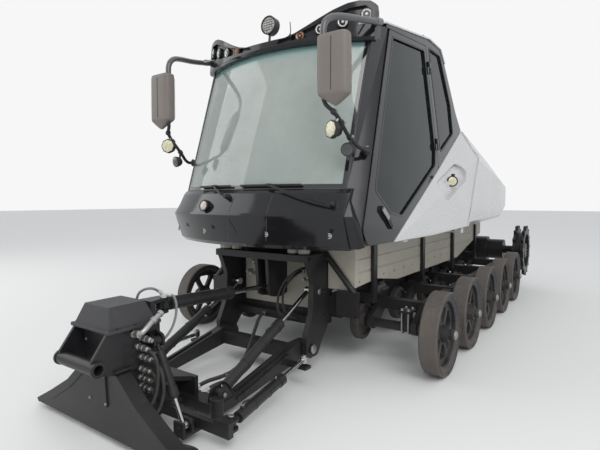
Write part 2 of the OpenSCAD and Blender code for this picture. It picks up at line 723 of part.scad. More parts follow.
// Mirror heads, the tubes that hold them out and the lamps below
module mirror_outline() {
    polygon(rounded([[-112, 215, 34], [-60, 232, 40], [112, 225, 34], [118, -165, 40], [20, -232, 16],
                     [-104, -178, 34]]));
}
module mirrors() color([0.42, 0.38, 0.34]) both() {
    translate([850, -840, 2209]) rotate([90, 0, 0]) linear_extrude(100) mirror_outline();
    // Upper tube from the end of the brow forward and down into the head, with its clamp
    bent_tube([[892, -230, 2708], [892, -420, 2668], [892, -700, 2606], [892, -870, 2530],
               [892, -890, 2410]], 22);
    bar([868.5, -262, 2700], [892, -262, 2700], 24);
    // Lower arm back to its foot on the pillar
    bent_tube([[850, -890, 2040], [852, -850, 1960], [885, -700, 1860], [920, -600, 1735],
               [920, -507, 1712]], 15);
    bar([884, -481, 1712], [924, -510, 1712], 26);
    // Square work lamp and round lamp on the lower arm
    translate([858, -818, 1850]) rotate([90, 0, -20]) cylinder(r = 58, h = 60);
    translate([895, -745, 1730]) rotate([90, 0, -20]) cylinder(r = 48, h = 50);
    bar([868, -780, 1850], [885, -700, 1855], 12);
    bar([905, -760, 1735], [920, -600, 1735], 12);
}

// Wiper arms and blades parked low on the windscreen
module wiper(w) {
    blade_r = screen_low_r + 8;
    arm_r = nose_out(w[1]) + stud_h + 14;
    elbow = w[2];
    on_nose(w[0], w[1], stud_h + 0.5) cylinder(r = 16, h = 24);
    bar([w[0], bow_y(arm_r, w[0]), w[1]], [elbow, bow_y(blade_r, elbow) - 24, 1466], 7);
    translate([elbow, bow_y(blade_r, elbow) + 4, 1466]) rotate([90, 0, 0]) cylinder(r = 9, h = 36);
    intersection() {
        translate([0, axis_y, 0]) rotate_extrude($fn = bow_fn) translate([blade_r, 1466])
            square([14, 24], center = true);
        block([w[3], -1200, 1400], [w[4], 0, 1500]);
    }
}
module wipers() color(black_paint) for (w = wiper_table) wiper(w);

// Two seats on pedestals
module seats() color([0.16, 0.16, 0.17]) {
    for (x = [-430, 250]) translate([x, 0, 0]) {
        block([-150, 80, floor_z + sheet_t], [150, 380, 1300]);
        side_plate(rounded([[-60, 1300, 20], [480, 1300, 20], [480, 1400, 30], [-60, 1420, 50]]), -240, 480);
        side_plate(rounded([[420, 1390, 20], [560, 1390, 20], [680, 2020, 50], [560, 2050, 50]]), -220, 440);
        side_plate(rounded([[590, 2060, 30], [690, 2040, 30], [720, 2220, 40], [620, 2240, 40]]), -130, 260);
        bar([0, 640, 2000], [0, 655, 2080], 20);
    }
}

// Dashboard that follows the windscreen's bow, with its column and steering wheel
module dashboard() color(black_paint) {
    intersection() {
        translate([0, axis_y, 0]) rotate_extrude($fn = bow_fn) polygon([
            [nose_in_r - 360, 1180], [nose_in_r - 80, 1140], [nose_in_r - 80, 1372],
            [nose_in_r - 220, 1360], [nose_in_r - 360, 1290]]);
        front_sector(800, 1000, 1500);
    }
    block([-80, -640, floor_z + sheet_t], [80, -500, 1220]);
    bar([250, -480, 1230], [250, -300, 1400], 28);
    translate([250, -300, 1400]) rotate([43, 0, 0]) {
        rotate_extrude() translate([170, 0]) circle(14);
        for (a = [90, 210, 330]) rotate([0, 90, a]) cylinder(r = 9, h = 170);
    }
}

// Rear cross beam with the lugs that a rear implement hangs on
module rear_carrier() color(black_paint) {
    beam_rear = rail_end + 90;
    difference() {
        union() {
            block([-rail_half, rail_end, rail_z + 10], [rail_half, beam_rear, rail_z + rail_h + 30]);
            both() side_plate(rounded([[beam_rear - 10, 420, 0], [rear_reach - 80, 430, 40],
                                       [rear_reach, 455, 55], [rear_reach, 565, 55],
                                       [rear_reach - 100, 600, 40], [beam_rear - 10, 620, 0]]), 380, 40);
            side_plate(rounded([[rail_end + 10, rail_z + rail_h + 29, 0],
                                [beam_rear - 1, rail_z + rail_h + 29, 0], [rear_reach - 60, 790, 50],
                                [rear_reach - 60, 900, 50], [rear_reach - 160, 900, 50],
                                [rail_end + 10, 760, 60]]), -25, 50);
        }
        both() disc(370, 60, rear_reach - 60, 510, 20);
        disc(-40, 80, rear_reach - 115, 845, 20);
    }
}

// Road wheel about the X axis, its outer face towards +X: one turned form from the bore and its
// domed cap out to the solid tyre, with windows cut through the web between the spokes
module wheel_section(w, rim_r, bore_r) {
    polygon([[bore_r, 10 - w], [62, 10 - w], [70, -16], [rim_r - 34, -16], [rim_r - 34, 24 - w],
             [rim_r - 10, 18 - w], [rim_r, 6 - w], [wheel_r - 9, -w], [wheel_r, 10 - w],
             [wheel_r, w - 10], [wheel_r - 9, w], [rim_r, w - 6], [rim_r - 10, w - 18],
             [rim_r - 34, w - 30], [rim_r - 34, 16], [70, 16], [62, w - 2], [44, w], [44, w + 26],
             [32, w + 40], [0, w + 40], [0, w - 8], [bore_r, w - 8]]);
}
module road_wheel() {
    rim_r = wheel_r - tyre_depth;
    pitch = 360 / wheel_spokes;
    spoke_half = 24;
    window = [for (r = [88, rim_r - 82]) [r, r * tan(pitch / 2) - spoke_half / cos(pitch / 2)]];
    color(rubber) difference() {
        rotate([0, 90, 0]) rotate_extrude($fn = 72) wheel_section(tyre_w / 2, rim_r, shaft_r + pin_gap);
        for (i = [1:wheel_spokes]) rotate([i * pitch, 0, 0])
            side_plate(rounded([[window[0][1], window[0][0], 10], [window[1][1], window[1][0], 22],
                                [-window[1][1], window[1][0], 22], [-window[0][1], window[0][0], 10]]),
                       -30, 60);
    }
}
module wheel(name, i) on_side(name)
    translate([track_x, (i - 1) * wheel_pitch, wheel_r]) road_wheel();

// Toothed drive sprocket on its final drive
module sprocket(name) on_side(name) color(black_paint)
    translate([track_x, sprocket_y, sprocket_z]) difference() {
        union() {
            for (x = [-75, 35]) translate([x, 0, 0]) rotate([0, 90, 0]) linear_extrude(40) {
                difference() {
                    circle(sprocket_r, $fn = 90);
                    circle(sprocket_r - 70, $fn = 72);
                }
                for (k = [1:sprocket_teeth]) rotate(k * 360 / sprocket_teeth)
                    polygon([[sprocket_r - 10, -34], [sprocket_r + tooth_h, -14],
                             [sprocket_r + tooth_h, 14], [sprocket_r - 10, 34]]);
            }
            disc(-60, 120, 0, 0, 110);
            disc(-12, 24, 0, 0, sprocket_r - 60);
            rotate([0, 90, 0]) translate([0, 0, -74]) difference() {
                cylinder(r = sprocket_r - 60, h = 148);
                translate([0, 0, -1]) cylinder(r = sprocket_r - 80, h = 150);
            }
        }
        disc(-100, 165, 0, 0, 60 + pin_gap);
        for (k = [1:6]) rotate([k * 60, 0, 0]) disc(-20, 40, 185, 0, 42);
    }

// Eye of a cylinder about the X axis, with the pin heads that belong to it
module eye_x(p, r, w) disc(p[0] - w / 2, w, p[1], p[2], r);

// Push frame: two arms on the tower feet, cross members, ears and the kingpin's housing
arm_x = 345;
arm_w = 80;
module push_frame() color(black_paint) {
    difference() {
        union() {
            both() side_plate(rounded([[-500, 200, 60], [-520, 262, 50], [-700, 262, 80],
                                       [-1390, 112, 60], [-1560, 108, 8], [-1560, 45, 8],
                                       [-1400, 45, 60], [-640, 130, 80], [-510, 140, 50]]),
                              arm_x, arm_w);
            block([-arm_x - 1, -720, 140], [arm_x + 1, -630, 235]);
            block([-arm_x - 1, -1558, 48], [arm_x + 1, -1440, 106]);
            // Ears of the lift cylinders' feet
            both() for (x = [lift_pins_x - lift_eye_w / 2 - eye_gap - 16,
                             lift_pins_x + lift_eye_w / 2 + eye_gap])
                side_plate(rounded([[-1540, 100, 0], [-1515, 195, 36], [-1440, 195, 36],
                                    [-1400, 105, 0]]), x, 16);
            // Housing of the kingpin on its wedge
            translate([0, -swing_y, 62]) cylinder(r = 62, h = 168);
            for (z = [62, 200]) translate([0, 0, z]) linear_extrude(30)
                polygon([[-200, -1500], [200, -1500], [60, -swing_y], [-60, -swing_y]]);
            block([-200, -1520, 62], [200, -1490, 230]);
            // Round bosses at the front corners
            both() translate([405, -1530, 40]) cylinder(r = 42, h = 100);
            // Lugs that carry the swing cylinders' rods from below
            both() block([arm_x + 40, -835, 135], [swing_head[0] + 40, -765, 157]);
        }
        both() disc(arm_x - 1, arm_w + 2, -lift_pivot_y, lift_pivot_z, 30 + pin_gap);
        translate([0, -swing_y, 0]) cylinder(r = kingpin_r + pin_gap, h = 400);
        both() disc(lift_pins_x - 100, 200, lift_foot[1], lift_foot[2], 18 + pin_gap);
        // Window that leaves the cylinder eyes free between their ears
        both() block([lift_pins_x - lift_eye_w / 2 - eye_gap, -1520, 112],
                     [lift_pins_x + lift_eye_w / 2 + eye_gap, -1420, 400]);
    }
    // Pivot pins through the tower feet
    both() disc(arm_x - 10, arm_w + tower_t + 26, -lift_pivot_y, lift_pivot_z, 30);
    both() disc(arm_x - 10, 10.5, -lift_pivot_y, lift_pivot_z, 44);
}

// Swing block: fork and kingpin, mast for the top cylinder, roll shaft and the outrigger beam
module swing_block() color(black_paint) {
    difference() {
        union() {
            for (z = [30, 238]) translate([0, 0, z]) linear_extrude(24) {
                polygon([[-95, -1738], [95, -1738], [46, -swing_y], [-46, -swing_y]]);
                translate([0, -swing_y]) circle(46);
            }
            block([-95, -1738, 30], [95, -1700, 640]);
            translate([0, -swing_y, 30]) cylinder(r = kingpin_r, h = 232);
            // Mast head, a fork above and below the top cylinder's eye
            for (z = [top_foot[2] - 28 - 22, top_foot[2] + 28]) translate([0, 0, z]) linear_extrude(22)
                polygon(rounded([[-60, -1738, 0], [60, -1738, 0], [42, -1570, 40], [-42, -1570, 40]]));
            block([-60, -1738, 600], [60, -1704, top_foot[2] + 50]);
            translate([0, -swing_y, top_foot[2] - 50]) cylinder(r = 17, h = 100);
            // Roll shaft
            translate([0, -1700, roll_z]) rotate([90, 0, 0]) cylinder(r = 40, h = 230);
            // Outrigger beam with the swing cylinders' forks and the tilt cylinder's ears
            block([-640, -1738, 66], [640, -1700, 126]);
            both() for (z = [swing_foot[2] - 32, swing_foot[2] + 18]) translate([0, 0, z]) linear_extrude(14)
                polygon(rounded([[590, -1720, 0], [700, -1720, 10], [700, -1640, 30], [612, -1640, 30]]));
            both() block([590, -1738, 66], [700, -1700, swing_foot[2] + 32]);
            for (y = [-1851, -1789]) block([390, y, 66], [470, y + 16, 135]);
            block([390, -1851, 50], [470, -1700, 67]);
        }
        both() translate([swing_foot[0], swing_foot[1], 0]) cylinder(r = 14 + pin_gap, h = 300);
    }
    // Pin heads on the tilt cylinder's ears
    for (y = [-1843, -1767]) translate([tilt_head[0], y, tilt_head[2]]) rotate([90, 0, 0])
        cylinder(r = 18, h = 14);
}

// Blade plate: flared foot plate, box with its slanted cheeks, cross tube and roll bushing
tube_y = -(front_reach - cross_tube_r);
module plate_half_outline() {
    polygon([[0, 40], [plate_half, 40], [plate_half, 62], [530, 160], [330, 275], [152, 425],
             [132, 636], [0, 636]]);
}
module blade_plate() color(black_paint) {
    difference() {
        union() {
            both() translate([0, -2030, 0]) rotate([90, 0, 0]) linear_extrude(20) plate_half_outline();
            // Bars along the flared upper edges
            both() translate([0, -1965, 0]) rotate([90, 0, 0]) linear_extrude(90) polygon([
                [plate_half, 62], [530, 160], [330, 275], [150, 427], [118, 385], [305, 232],
                [505, 112], [plate_half - 25, 40]]);
            // Flat lips over the bars' upper ends
            both() block([112, -2062, 420], [186, -1958, 436]);
            // Cheeks from the cover down to the cross tube
            both() side_plate(rounded([[-2098, 641, 0], [tube_y - 25, 520, 45],
                                       [tube_y - 25, 440, 38], [-2030, 400, 30], [-1775, 400, 0],
                                       [-1775, 641, 0]]), 148, 17);
            block([-150, -1790, 190], [150, -1774, 641]);
            both() block([132, -2031, 190], [150, -1774, 410]);
            disc(-188, 376, tube_y, 475, cross_tube_r);
            // Roll bushing
            translate([0, -1745, roll_z]) rotate([90, 0, 0]) cylinder(r = 76, h = 190);
            // Screwed plate on the front
            translate([0, -2049, 0]) rotate([90, 0, 0]) linear_extrude(10)
                polygon([[-85, 210], [85, 210], [72, 400], [-72, 400]]);
            // Ears of the tilt cylinder
            for (y = [-1851, -1789]) cross_plate(rounded([[160, 490, 0], [235, 515, 20],
                [235, 575, 30], [160, 600, 0]]), y, 16);
            // Ribs behind the foot plate
            for (x = [-420, -230, 230, 420]) side_plate([[-2031, 45], [-1930, 45], [-2031, 200]], x, 14);
        }
        disc(-200, 400, tube_y, 475, cross_bore_r);
        translate([0, -1700, roll_z]) rotate([90, 0, 0]) cylinder(r = 40 + pin_gap, h = 242);
        translate([tilt_foot[0], -1900, tilt_foot[2]]) rotate([-90, 0, 0])
            cylinder(r = 14 + pin_gap, h = 140);
    }
}

// Plastic cover on the head, a chamfered box over a flange
module head_cover() color([0.20, 0.20, 0.21]) {
    block([-187, -2100, 641], [187, -1762, 660]);
    hull() {
        block([-165, -2085, 659], [165, -1785, 664]);
        block([-118, -2052, 768], [118, -1822, 772]);
    }
}

// A cylinder's barrel along +X from its foot eye: neck, tube with its bore, and gland collar
module barrel_tube(length, r, rod_r, start, neck_r) {
    difference() {
        union() {
            translate([start, 0, 0]) rotate([0, 90, 0]) cylinder(r = r, h = length - start);
            translate([length - 55, 0, 0]) rotate([0, 90, 0]) cylinder(r = r + 5, h = 55);
            translate([20, 0, 0]) rotate([0, 90, 0]) cylinder(r = neck_r, h = start - 19);
        }
        translate([start + 30, 0, 0]) rotate([0, 90, 0]) cylinder(r = rod_r + pin_gap, h = length);
    }
}
module rod_bar(from, to, rod_r) translate([from, 0, 0]) rotate([0, 90, 0])
    cylinder(r = rod_r, h = to - from);

lift_barrel_l = 700;
lift_rod_r = 17;
lift_barrel_r = 37;
module lift_barrels() color(black_paint) both() {
    along(lift_foot, lift_top) barrel_tube(lift_barrel_l, lift_barrel_r, lift_rod_r, 64, 16);
    eye_x(lift_foot, 30, lift_eye_w);
    eye_x(lift_foot, 18, lift_eye_w + 2 * (eye_gap + 16) + 8);
}
module lift_rods() color(chrome) both() {
    reach = norm(lift_top - lift_foot);
    along(lift_foot, lift_top) rod_bar(reach - 660, reach - 20, lift_rod_r);
    eye_x(lift_top, 30, lift_eye_w);
}

top_barrel_l = 640;
module top_barrel() color(black_paint) {
    difference() {
        union() {
            along(top_foot, top_head) barrel_tube(top_barrel_l, 44, 20, 58, 18);
            translate([0, top_foot[1], top_foot[2] - 19]) cylinder(r = 40, h = 38);
            disc(-46, 92, top_foot[1], top_foot[2], 22);
        }
        translate([0, top_foot[1], top_foot[2] - 60]) cylinder(r = 17 + pin_gap, h = 120);
    }
}
module top_rod() color(chrome) {
    reach = norm(top_head - top_foot);
    along(top_foot, top_head) rod_bar(reach - 560, reach - 20, 20);
    eye_x(top_head, 34, 50);
    eye_x(top_head, 20, 68);
}

swing_barrel_l = 560;
module swing_barrel(name) on_side(name) color(black_paint) {
    along(swing_foot, swing_head) barrel_tube(swing_barrel_l, 34, 16, 62, 12);
    translate([swing_foot[0], swing_foot[1], swing_foot[2] - 13]) cylinder(r = 28, h = 26);
    translate([swing_foot[0], swing_foot[1], swing_foot[2] - 38]) cylinder(r = 14, h = 76);
}
module swing_rod(name) on_side(name) color(chrome) {
    reach = norm(swing_head - swing_foot);
    along(swing_foot, swing_head) rod_bar(reach - 560, reach - 18, 16);
    translate(swing_head - [0, 0, 22]) cylinder(r = 27, h = 44);
    translate(swing_head + [0, 0, 21]) cylinder(r = 18, h = 14);
}

tilt_barrel_l = 330;
module tilt_barrel() color(black_paint) {
    along(tilt_foot, tilt_head) barrel_tube(tilt_barrel_l, 27, 12, 62, 13);
    translate([tilt_foot[0], -1830, tilt_foot[2]]) rotate([-90, 0, 0]) cylinder(r = 26, h = 36);
    translate([tilt_foot[0], -1856, tilt_foot[2]]) rotate([-90, 0, 0]) cylinder(r = 14, h = 88);
}
module tilt_rod() color(chrome) {
    reach = norm(tilt_head - tilt_foot);
    along(tilt_foot, tilt_head) rod_bar(reach - 330, reach - 18, 12);
    translate([tilt_head[0], -1830, tilt_head[2]]) rotate([-90, 0, 0]) cylinder(r = 24, h = 36);
}

placed() chassis_frame();
placed() front_tower();
placed() axle_beams();
placed() guide_rollers();
placed() engine_block();
placed() belly_panels();
placed() cab_floor();
placed() cab_nose();
placed() cab_frame();
placed() cab_roof();
placed() lamp_visor();
placed() rear_wall();
placed() windscreen();
placed() cab_windows();
placed() side_panels();
placed() mirrors();
placed() wipers();
placed() seats();
placed() dashboard();
placed() rear_carrier();
placed() hood();
placed() door("left");  // door_left
placed() door("right");  // door_right
placed() door_glass("left");  // door_glass_left
placed() door_glass("right");  // door_glass_right
for (s = ["left", "right"], i = [1:5])
    placed() wheel(s, i);
placed() sprocket("left");  // sprocket_left
placed() sprocket("right");  // sprocket_right
placed() push_frame();
placed() swing_block();
placed() blade_plate();
placed() head_cover();
placed() lift_barrels();
placed() lift_rods();
placed() top_barrel();
placed() top_rod();
placed() swing_barrel("left");  // swing_barrel_left
placed() swing_barrel("right");  // swing_barrel_right
placed() swing_rod("left");  // swing_rod_left
placed() swing_rod("right");  // swing_rod_right
placed() tilt_barrel();
placed() tilt_rod();
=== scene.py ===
# Snow groomer on its bare road wheels: finishes, small parts, light and camera
import json
import math

import bmesh
import bpy
import numpy as np
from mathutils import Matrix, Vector


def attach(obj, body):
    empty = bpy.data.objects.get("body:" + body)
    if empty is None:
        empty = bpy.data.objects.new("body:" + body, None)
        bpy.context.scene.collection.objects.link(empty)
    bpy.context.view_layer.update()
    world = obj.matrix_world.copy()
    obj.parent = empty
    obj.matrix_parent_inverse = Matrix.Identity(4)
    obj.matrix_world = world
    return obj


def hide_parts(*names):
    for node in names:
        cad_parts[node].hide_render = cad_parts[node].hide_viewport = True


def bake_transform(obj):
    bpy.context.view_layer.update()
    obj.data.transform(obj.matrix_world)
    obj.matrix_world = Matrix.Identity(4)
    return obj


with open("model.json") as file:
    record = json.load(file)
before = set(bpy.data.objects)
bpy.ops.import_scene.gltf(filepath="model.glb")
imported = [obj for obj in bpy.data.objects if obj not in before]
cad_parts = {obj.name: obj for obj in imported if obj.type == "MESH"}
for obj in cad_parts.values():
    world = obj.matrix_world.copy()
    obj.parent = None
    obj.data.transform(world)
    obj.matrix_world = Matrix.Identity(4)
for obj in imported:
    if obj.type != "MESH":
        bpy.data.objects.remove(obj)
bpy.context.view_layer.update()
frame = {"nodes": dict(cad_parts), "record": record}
nodes = frame["nodes"]

# Camera and light

cameraSetup = {
    "place": (2.33, -4.695, 1.36),
    "yaw": 34.3,  # degrees to the left of straight back
    "pitch": -3.2,  # degrees, looking slightly down
    "lens": 26.7,
    "sensor": 36.0,
}
studioLight = {
    "world": 0.85,
    "keyPower": 520.0,
    "keyPlace": (7.0, -6.5, 8.5),
    "keySize": 7.0,
    "fillPower": 160.0,
    "fillPlace": (-7.5, -5.0, 5.0),
    "fillSize": 6.0,
    "target": (0.0, 0.0, 1.0),
    "floorColour": (0.80, 0.80, 0.79),
    "skyColour": (0.86, 0.88, 0.90),
    "seenColour": (0.93, 0.93, 0.93),  # what the camera sees of the sky, also through glass
}


def placed(name, data):  # a new object in the scene
    obj = bpy.data.objects.new(name, data)
    bpy.context.scene.collection.objects.link(obj)
    return obj


def makeCamera(setup):
    data = bpy.data.cameras.new("photoCamera")
    data.lens = setup["lens"]
    data.sensor_width = setup["sensor"]
    data.clip_end = 200.0
    cam = placed("photoCamera", data)
    cam.location = setup["place"]
    cam.rotation_euler = (math.radians(90 + setup["pitch"]), 0.0, math.radians(setup["yaw"]))
    bpy.context.scene.camera = cam


def areaLamp(name, setup):  # name is key or fill
    data = bpy.data.lights.new(name + "Lamp", "AREA")
    data.energy = setup[name + "Power"]
    data.size = setup[name + "Size"]
    lamp = placed(name + "Lamp", data)
    lamp.location = setup[name + "Place"]
    lamp.rotation_mode = "QUATERNION"
    lamp.rotation_quaternion = (Vector(setup["target"]) - lamp.location).to_track_quat("-Z", "Y")


def makeWorld(setup):
    world = bpy.data.worlds.new("studio")
    bpy.context.scene.world = world
    world.use_nodes = True
    tree = world.node_tree
    tree.nodes.clear()
    out = tree.nodes.new("ShaderNodeOutputWorld")
    lit = tree.nodes.new("ShaderNodeBackground")
    lit.inputs["Color"].default_value = (*setup["skyColour"], 1.0)
    lit.inputs["Strength"].default_value = setup["world"]
    seen = tree.nodes.new("ShaderNodeBackground")
    seen.inputs["Color"].default_value = (*setup["seenColour"], 1.0)
    seen.inputs["Strength"].default_value = 1.0
    path = tree.nodes.new("ShaderNodeLightPath")
    mix = tree.nodes.new("ShaderNodeMixShader")
    most = tree.nodes.new("ShaderNodeMath")
    most.operation = "MAXIMUM"
    tree.links.new(path.outputs["Is Camera Ray"], most.inputs[0])
    tree.links.new(path.outputs["Is Transmission Ray"], most.inputs[1])
    tree.links.new(most.outputs[0], mix.inputs[0])
    tree.links.new(lit.outputs[0], mix.inputs[1])
    tree.links.new(seen.outputs[0], mix.inputs[2])
    tree.links.new(mix.outputs[0], out.inputs["Surface"])


def makeFloor(setup):
    half = 60.0
    mesh = bpy.data.meshes.new("floor")
    corners = [(-half, -half, 0.0), (half, -half, 0.0), (half, half, 0.0), (-half, half, 0.0)]
    mesh.from_pydata(corners, [], [(0, 1, 2, 3)])
    floor = placed("floor", mesh)
    mat = bpy.data.materials.new("paleFloor")
    mat.use_nodes = True
    shader = mat.node_tree.nodes["Principled BSDF"]
    shader.inputs["Base Color"].default_value = (*setup["floorColour"], 1.0)
    shader.inputs["Roughness"].default_value = 0.9
    mesh.materials.append(mat)


makeCamera(cameraSetup)
makeWorld(studioLight)
areaLamp("key", studioLight)
areaLamp("fill", studioLight)
makeFloor(studioLight)
bpy.context.scene.view_settings.view_transform = "Standard"
print("camera and light ready")

# Finishes


class NodeSheet:  # a short way to add and link shader nodes
    def __init__(self, name):
        self.mat = bpy.data.materials.new(name)
        self.mat.use_nodes = True
        self.tree = self.mat.node_tree
        self.shader = self.tree.nodes["Principled BSDF"]
        self.coord = self.add("ShaderNodeTexCoord").outputs["Object"]

    def add(self, kind, **settings):
        node = self.tree.nodes.new(kind)
        for key, value in settings.items():
            setattr(node, key, value)
        return node

    def feed(self, node, values):  # numbers and colours are set, other nodes' outputs are linked
        for key, value in values.items():
            socket = node.inputs[key]
            if isinstance(value, (int, float)):
                socket.default_value = value
            elif isinstance(value, tuple):
                socket.default_value = (*value, 1.0)
            else:
                self.tree.links.new(value, socket)

    def finish(self, values):
        self.feed(self.shader, values)
        return self.mat

    def noise(self, scale, detail, rough=0.55):
        node = self.add("ShaderNodeTexNoise")
        self.feed(node, {"Scale": scale, "Detail": detail, "Roughness": rough, "Vector": self.coord})
        return node.outputs["Fac"]

    def ramp(self, value, low, high, toLow=0.0, toHigh=1.0):  # value from low..high to toLow..toHigh
        node = self.add("ShaderNodeMapRange", clamp=True)
        self.feed(node, {"Value": value, "From Min": low, "From Max": high,
                         "To Min": toLow, "To Max": toHigh})
        return node.outputs["Result"]

    def maths(self, operation, a, b=None):
        node = self.add("ShaderNodeMath", operation=operation)
        self.feed(node, {0: a} if b is None else {0: a, 1: b})
        return node.outputs[0]

    def times(self, a, b):
        return self.maths("MULTIPLY", a, b)

    def mixColour(self, factor, a, b):
        node = self.add("ShaderNodeMix", data_type="RGBA")
        first, second = [k for k, socket in enumerate(node.inputs) if socket.type == "RGBA"]
        self.feed(node, {0: factor, first: a, second: b})
        return [socket for socket in node.outputs if socket.type == "RGBA"][0]

    def axis(self, which):  # one Object coordinate, which is the row frame's own
        node = self.add("ShaderNodeSeparateXYZ")
        self.feed(node, {0: self.coord})
        return node.outputs[which]

    def bump(self, height, strength, distance, normal=None):
        node = self.add("ShaderNodeBump")
        self.feed(node, {"Strength": strength, "Distance": distance, "Height": height})
        if normal is not None:
            self.feed(node, {"Normal": normal})
        return node.outputs["Normal"]

    def roundEdges(self, radius):
        node = self.add("ShaderNodeBevel", samples=4)
        self.feed(node, {"Radius": radius})
        return node.outputs["Normal"]


finishes = {  # dust is its colour, the height it reaches and its amount
    "black_paint": {"colour": (0.014, 0.014, 0.016), "worn": (0.030, 0.029, 0.029), "rough": 0.40,
                    "dust": ((0.075, 0.062, 0.050), 0.6, 0.30), "edge": 0.006, "coat": 0.12,
                    "specular": 0.28},
    "gloss_black": {"colour": (0.012, 0.012, 0.014), "worn": (0.018, 0.018, 0.021), "rough": 0.12,
                    "dust": ((0.085, 0.075, 0.068), 1.2, 0.08), "edge": 0.010, "coat": 0.35,
                    "specular": 0.25, "bump": 0.015},
    "silver_paint": {"colour": (0.575, 0.57, 0.575), "worn": (0.615, 0.61, 0.615), "rough": 0.27,
                     "dust": ((0.42, 0.38, 0.35), 1.35, 0.14), "edge": 0.008, "coat": 0.5,
                     "metallic": 0.12, "bump": 0.0, "grain": 0.003},
    # cream colour matched to the belly as it looks in shade, so it holds painted shade besides the paint's
    # own cream
    "cream_paint": {"colour": (0.47, 0.44, 0.375), "worn": (0.39, 0.365, 0.31), "rough": 0.5,
                    "dust": ((0.24, 0.20, 0.155), 1.0, 0.45), "edge": 0.006, "coat": 0.1},
    "rubber": {"colour": (0.026, 0.024, 0.023), "worn": (0.060, 0.054, 0.049), "rough": 0.78,
               "dust": ((0.15, 0.12, 0.09), 0.7, 0.45), "edge": 0.004},
    "cast": {"colour": (0.05, 0.05, 0.055), "worn": (0.09, 0.085, 0.08), "rough": 0.6,
             "dust": ((0.13, 0.11, 0.085), 1.4, 0.3), "edge": 0.008},
    "taupe_plastic": {"colour": (0.185, 0.163, 0.147), "worn": (0.215, 0.192, 0.174), "rough": 0.5,
                      "dust": ((0.24, 0.215, 0.19), 0.5, 0.1), "edge": 0.010},
    "black_plastic": {"colour": (0.016, 0.016, 0.018), "worn": (0.030, 0.030, 0.032), "rough": 0.45,
                      "dust": ((0.10, 0.09, 0.075), 0.8, 0.2), "edge": 0.004},
    "cover_plastic": {"colour": (0.040, 0.040, 0.045), "worn": (0.065, 0.065, 0.069), "rough": 0.48,
                      "dust": ((0.13, 0.11, 0.09), 1.2, 0.25), "edge": 0.012},
    "seat_fabric": {"colour": (0.020, 0.020, 0.023), "worn": (0.036, 0.036, 0.041), "rough": 0.88,
                    "dust": ((0.05, 0.05, 0.05), 0.2, 0.05), "edge": 0.008},
    "seal_rubber": {"colour": (0.050, 0.050, 0.053), "worn": (0.085, 0.085, 0.088), "rough": 0.42,
                    "dust": ((0.12, 0.11, 0.10), 0.6, 0.2), "edge": 0.002},
    "hose_rubber": {"colour": (0.018, 0.018, 0.019), "worn": (0.040, 0.039, 0.038), "rough": 0.55,
                    "dust": ((0.13, 0.11, 0.085), 0.9, 0.4), "edge": 0.002},
    "plated_steel": {"colour": (0.44, 0.44, 0.43), "worn": (0.26, 0.255, 0.245), "rough": 0.34,
                     "dust": ((0.13, 0.11, 0.085), 0.9, 0.35), "edge": 0.002, "metallic": 0.9},
    "white_fitting": {"colour": (0.66, 0.66, 0.63), "worn": (0.50, 0.50, 0.47), "rough": 0.4,
                      "dust": ((0.2, 0.18, 0.15), 0.9, 0.3), "edge": 0.002},
    "grey_hose": {"colour": (0.20, 0.21, 0.22), "worn": (0.27, 0.28, 0.28), "rough": 0.5,
                  "dust": ((0.16, 0.14, 0.12), 0.9, 0.2), "edge": 0.002},
    "smooth_tube": {"colour": (0.085, 0.083, 0.088), "worn": (0.12, 0.118, 0.122), "rough": 0.32,
                    "dust": ((0.16, 0.15, 0.14), 0.5, 0.1), "edge": 0.004, "coat": 0.6},
    "red_trim": {"colour": (0.36, 0.018, 0.020), "worn": (0.28, 0.020, 0.020), "rough": 0.45,
                 "dust": ((0.2, 0.1, 0.08), 0.5, 0.1), "edge": 0.002},
}


def weatheredFinish(name, look):
    sheet = NodeSheet(name)
    patches = sheet.ramp(sheet.noise(1.7, 5.0), 0.40, 0.66)
    grain = sheet.noise(55.0, 3.0)
    scuffs = sheet.ramp(sheet.noise(9.0, 7.0, 0.7), 0.56, 0.72)
    base = sheet.mixColour(sheet.times(patches, 0.6), look["colour"], look["worn"])
    base = sheet.mixColour(sheet.times(scuffs, 0.5), base, look["worn"])
    dustColour, dustTop, dustAmount = look["dust"]
    lowDown = sheet.ramp(sheet.axis("Z"), 0.0, dustTop, 1.0, 0.15)
    dustMask = sheet.times(sheet.ramp(sheet.noise(4.2, 8.0, 0.68), 0.38, 0.72), lowDown)
    dustMask = sheet.times(dustMask, dustAmount)
    base = sheet.mixColour(dustMask, base, dustColour)
    speckle = look.get("grain", 0.025)
    rough = sheet.maths("ADD", sheet.ramp(grain, 0.3, 0.7, -speckle, speckle), look["rough"])
    rough = sheet.maths("ADD", rough, sheet.times(dustMask, 0.35))
    normal = sheet.bump(grain, look.get("bump", 0.06), 0.0008, sheet.roundEdges(look["edge"]))
    return sheet.finish({
        "Base Color": base, "Roughness": rough, "Normal": normal, "Metallic": look.get("metallic", 0.0),
        "Specular IOR Level": look.get("specular", 0.4), "Coat Weight": look.get("coat", 0.0),
        "Coat Roughness": 0.08})


wheelLook = {
    "treadFrom": 0.3185,  # metres from the wheel's axis
    "rimFrom": 0.262,
    "rimTo": 0.2835,
    "tread": (0.088, 0.076, 0.068),
    "treadWorn": (0.150, 0.130, 0.115),
    "wall": (0.022, 0.021, 0.021),
    "wallWorn": (0.055, 0.050, 0.046),
    "rim": (0.060, 0.062, 0.068),
    "disc": (0.016, 0.016, 0.018),
    "mud": (0.18, 0.14, 0.105),
    "pitch": 0.8,
    "firstAxle": -1.25,
    "axleHeight": 0.325,
}


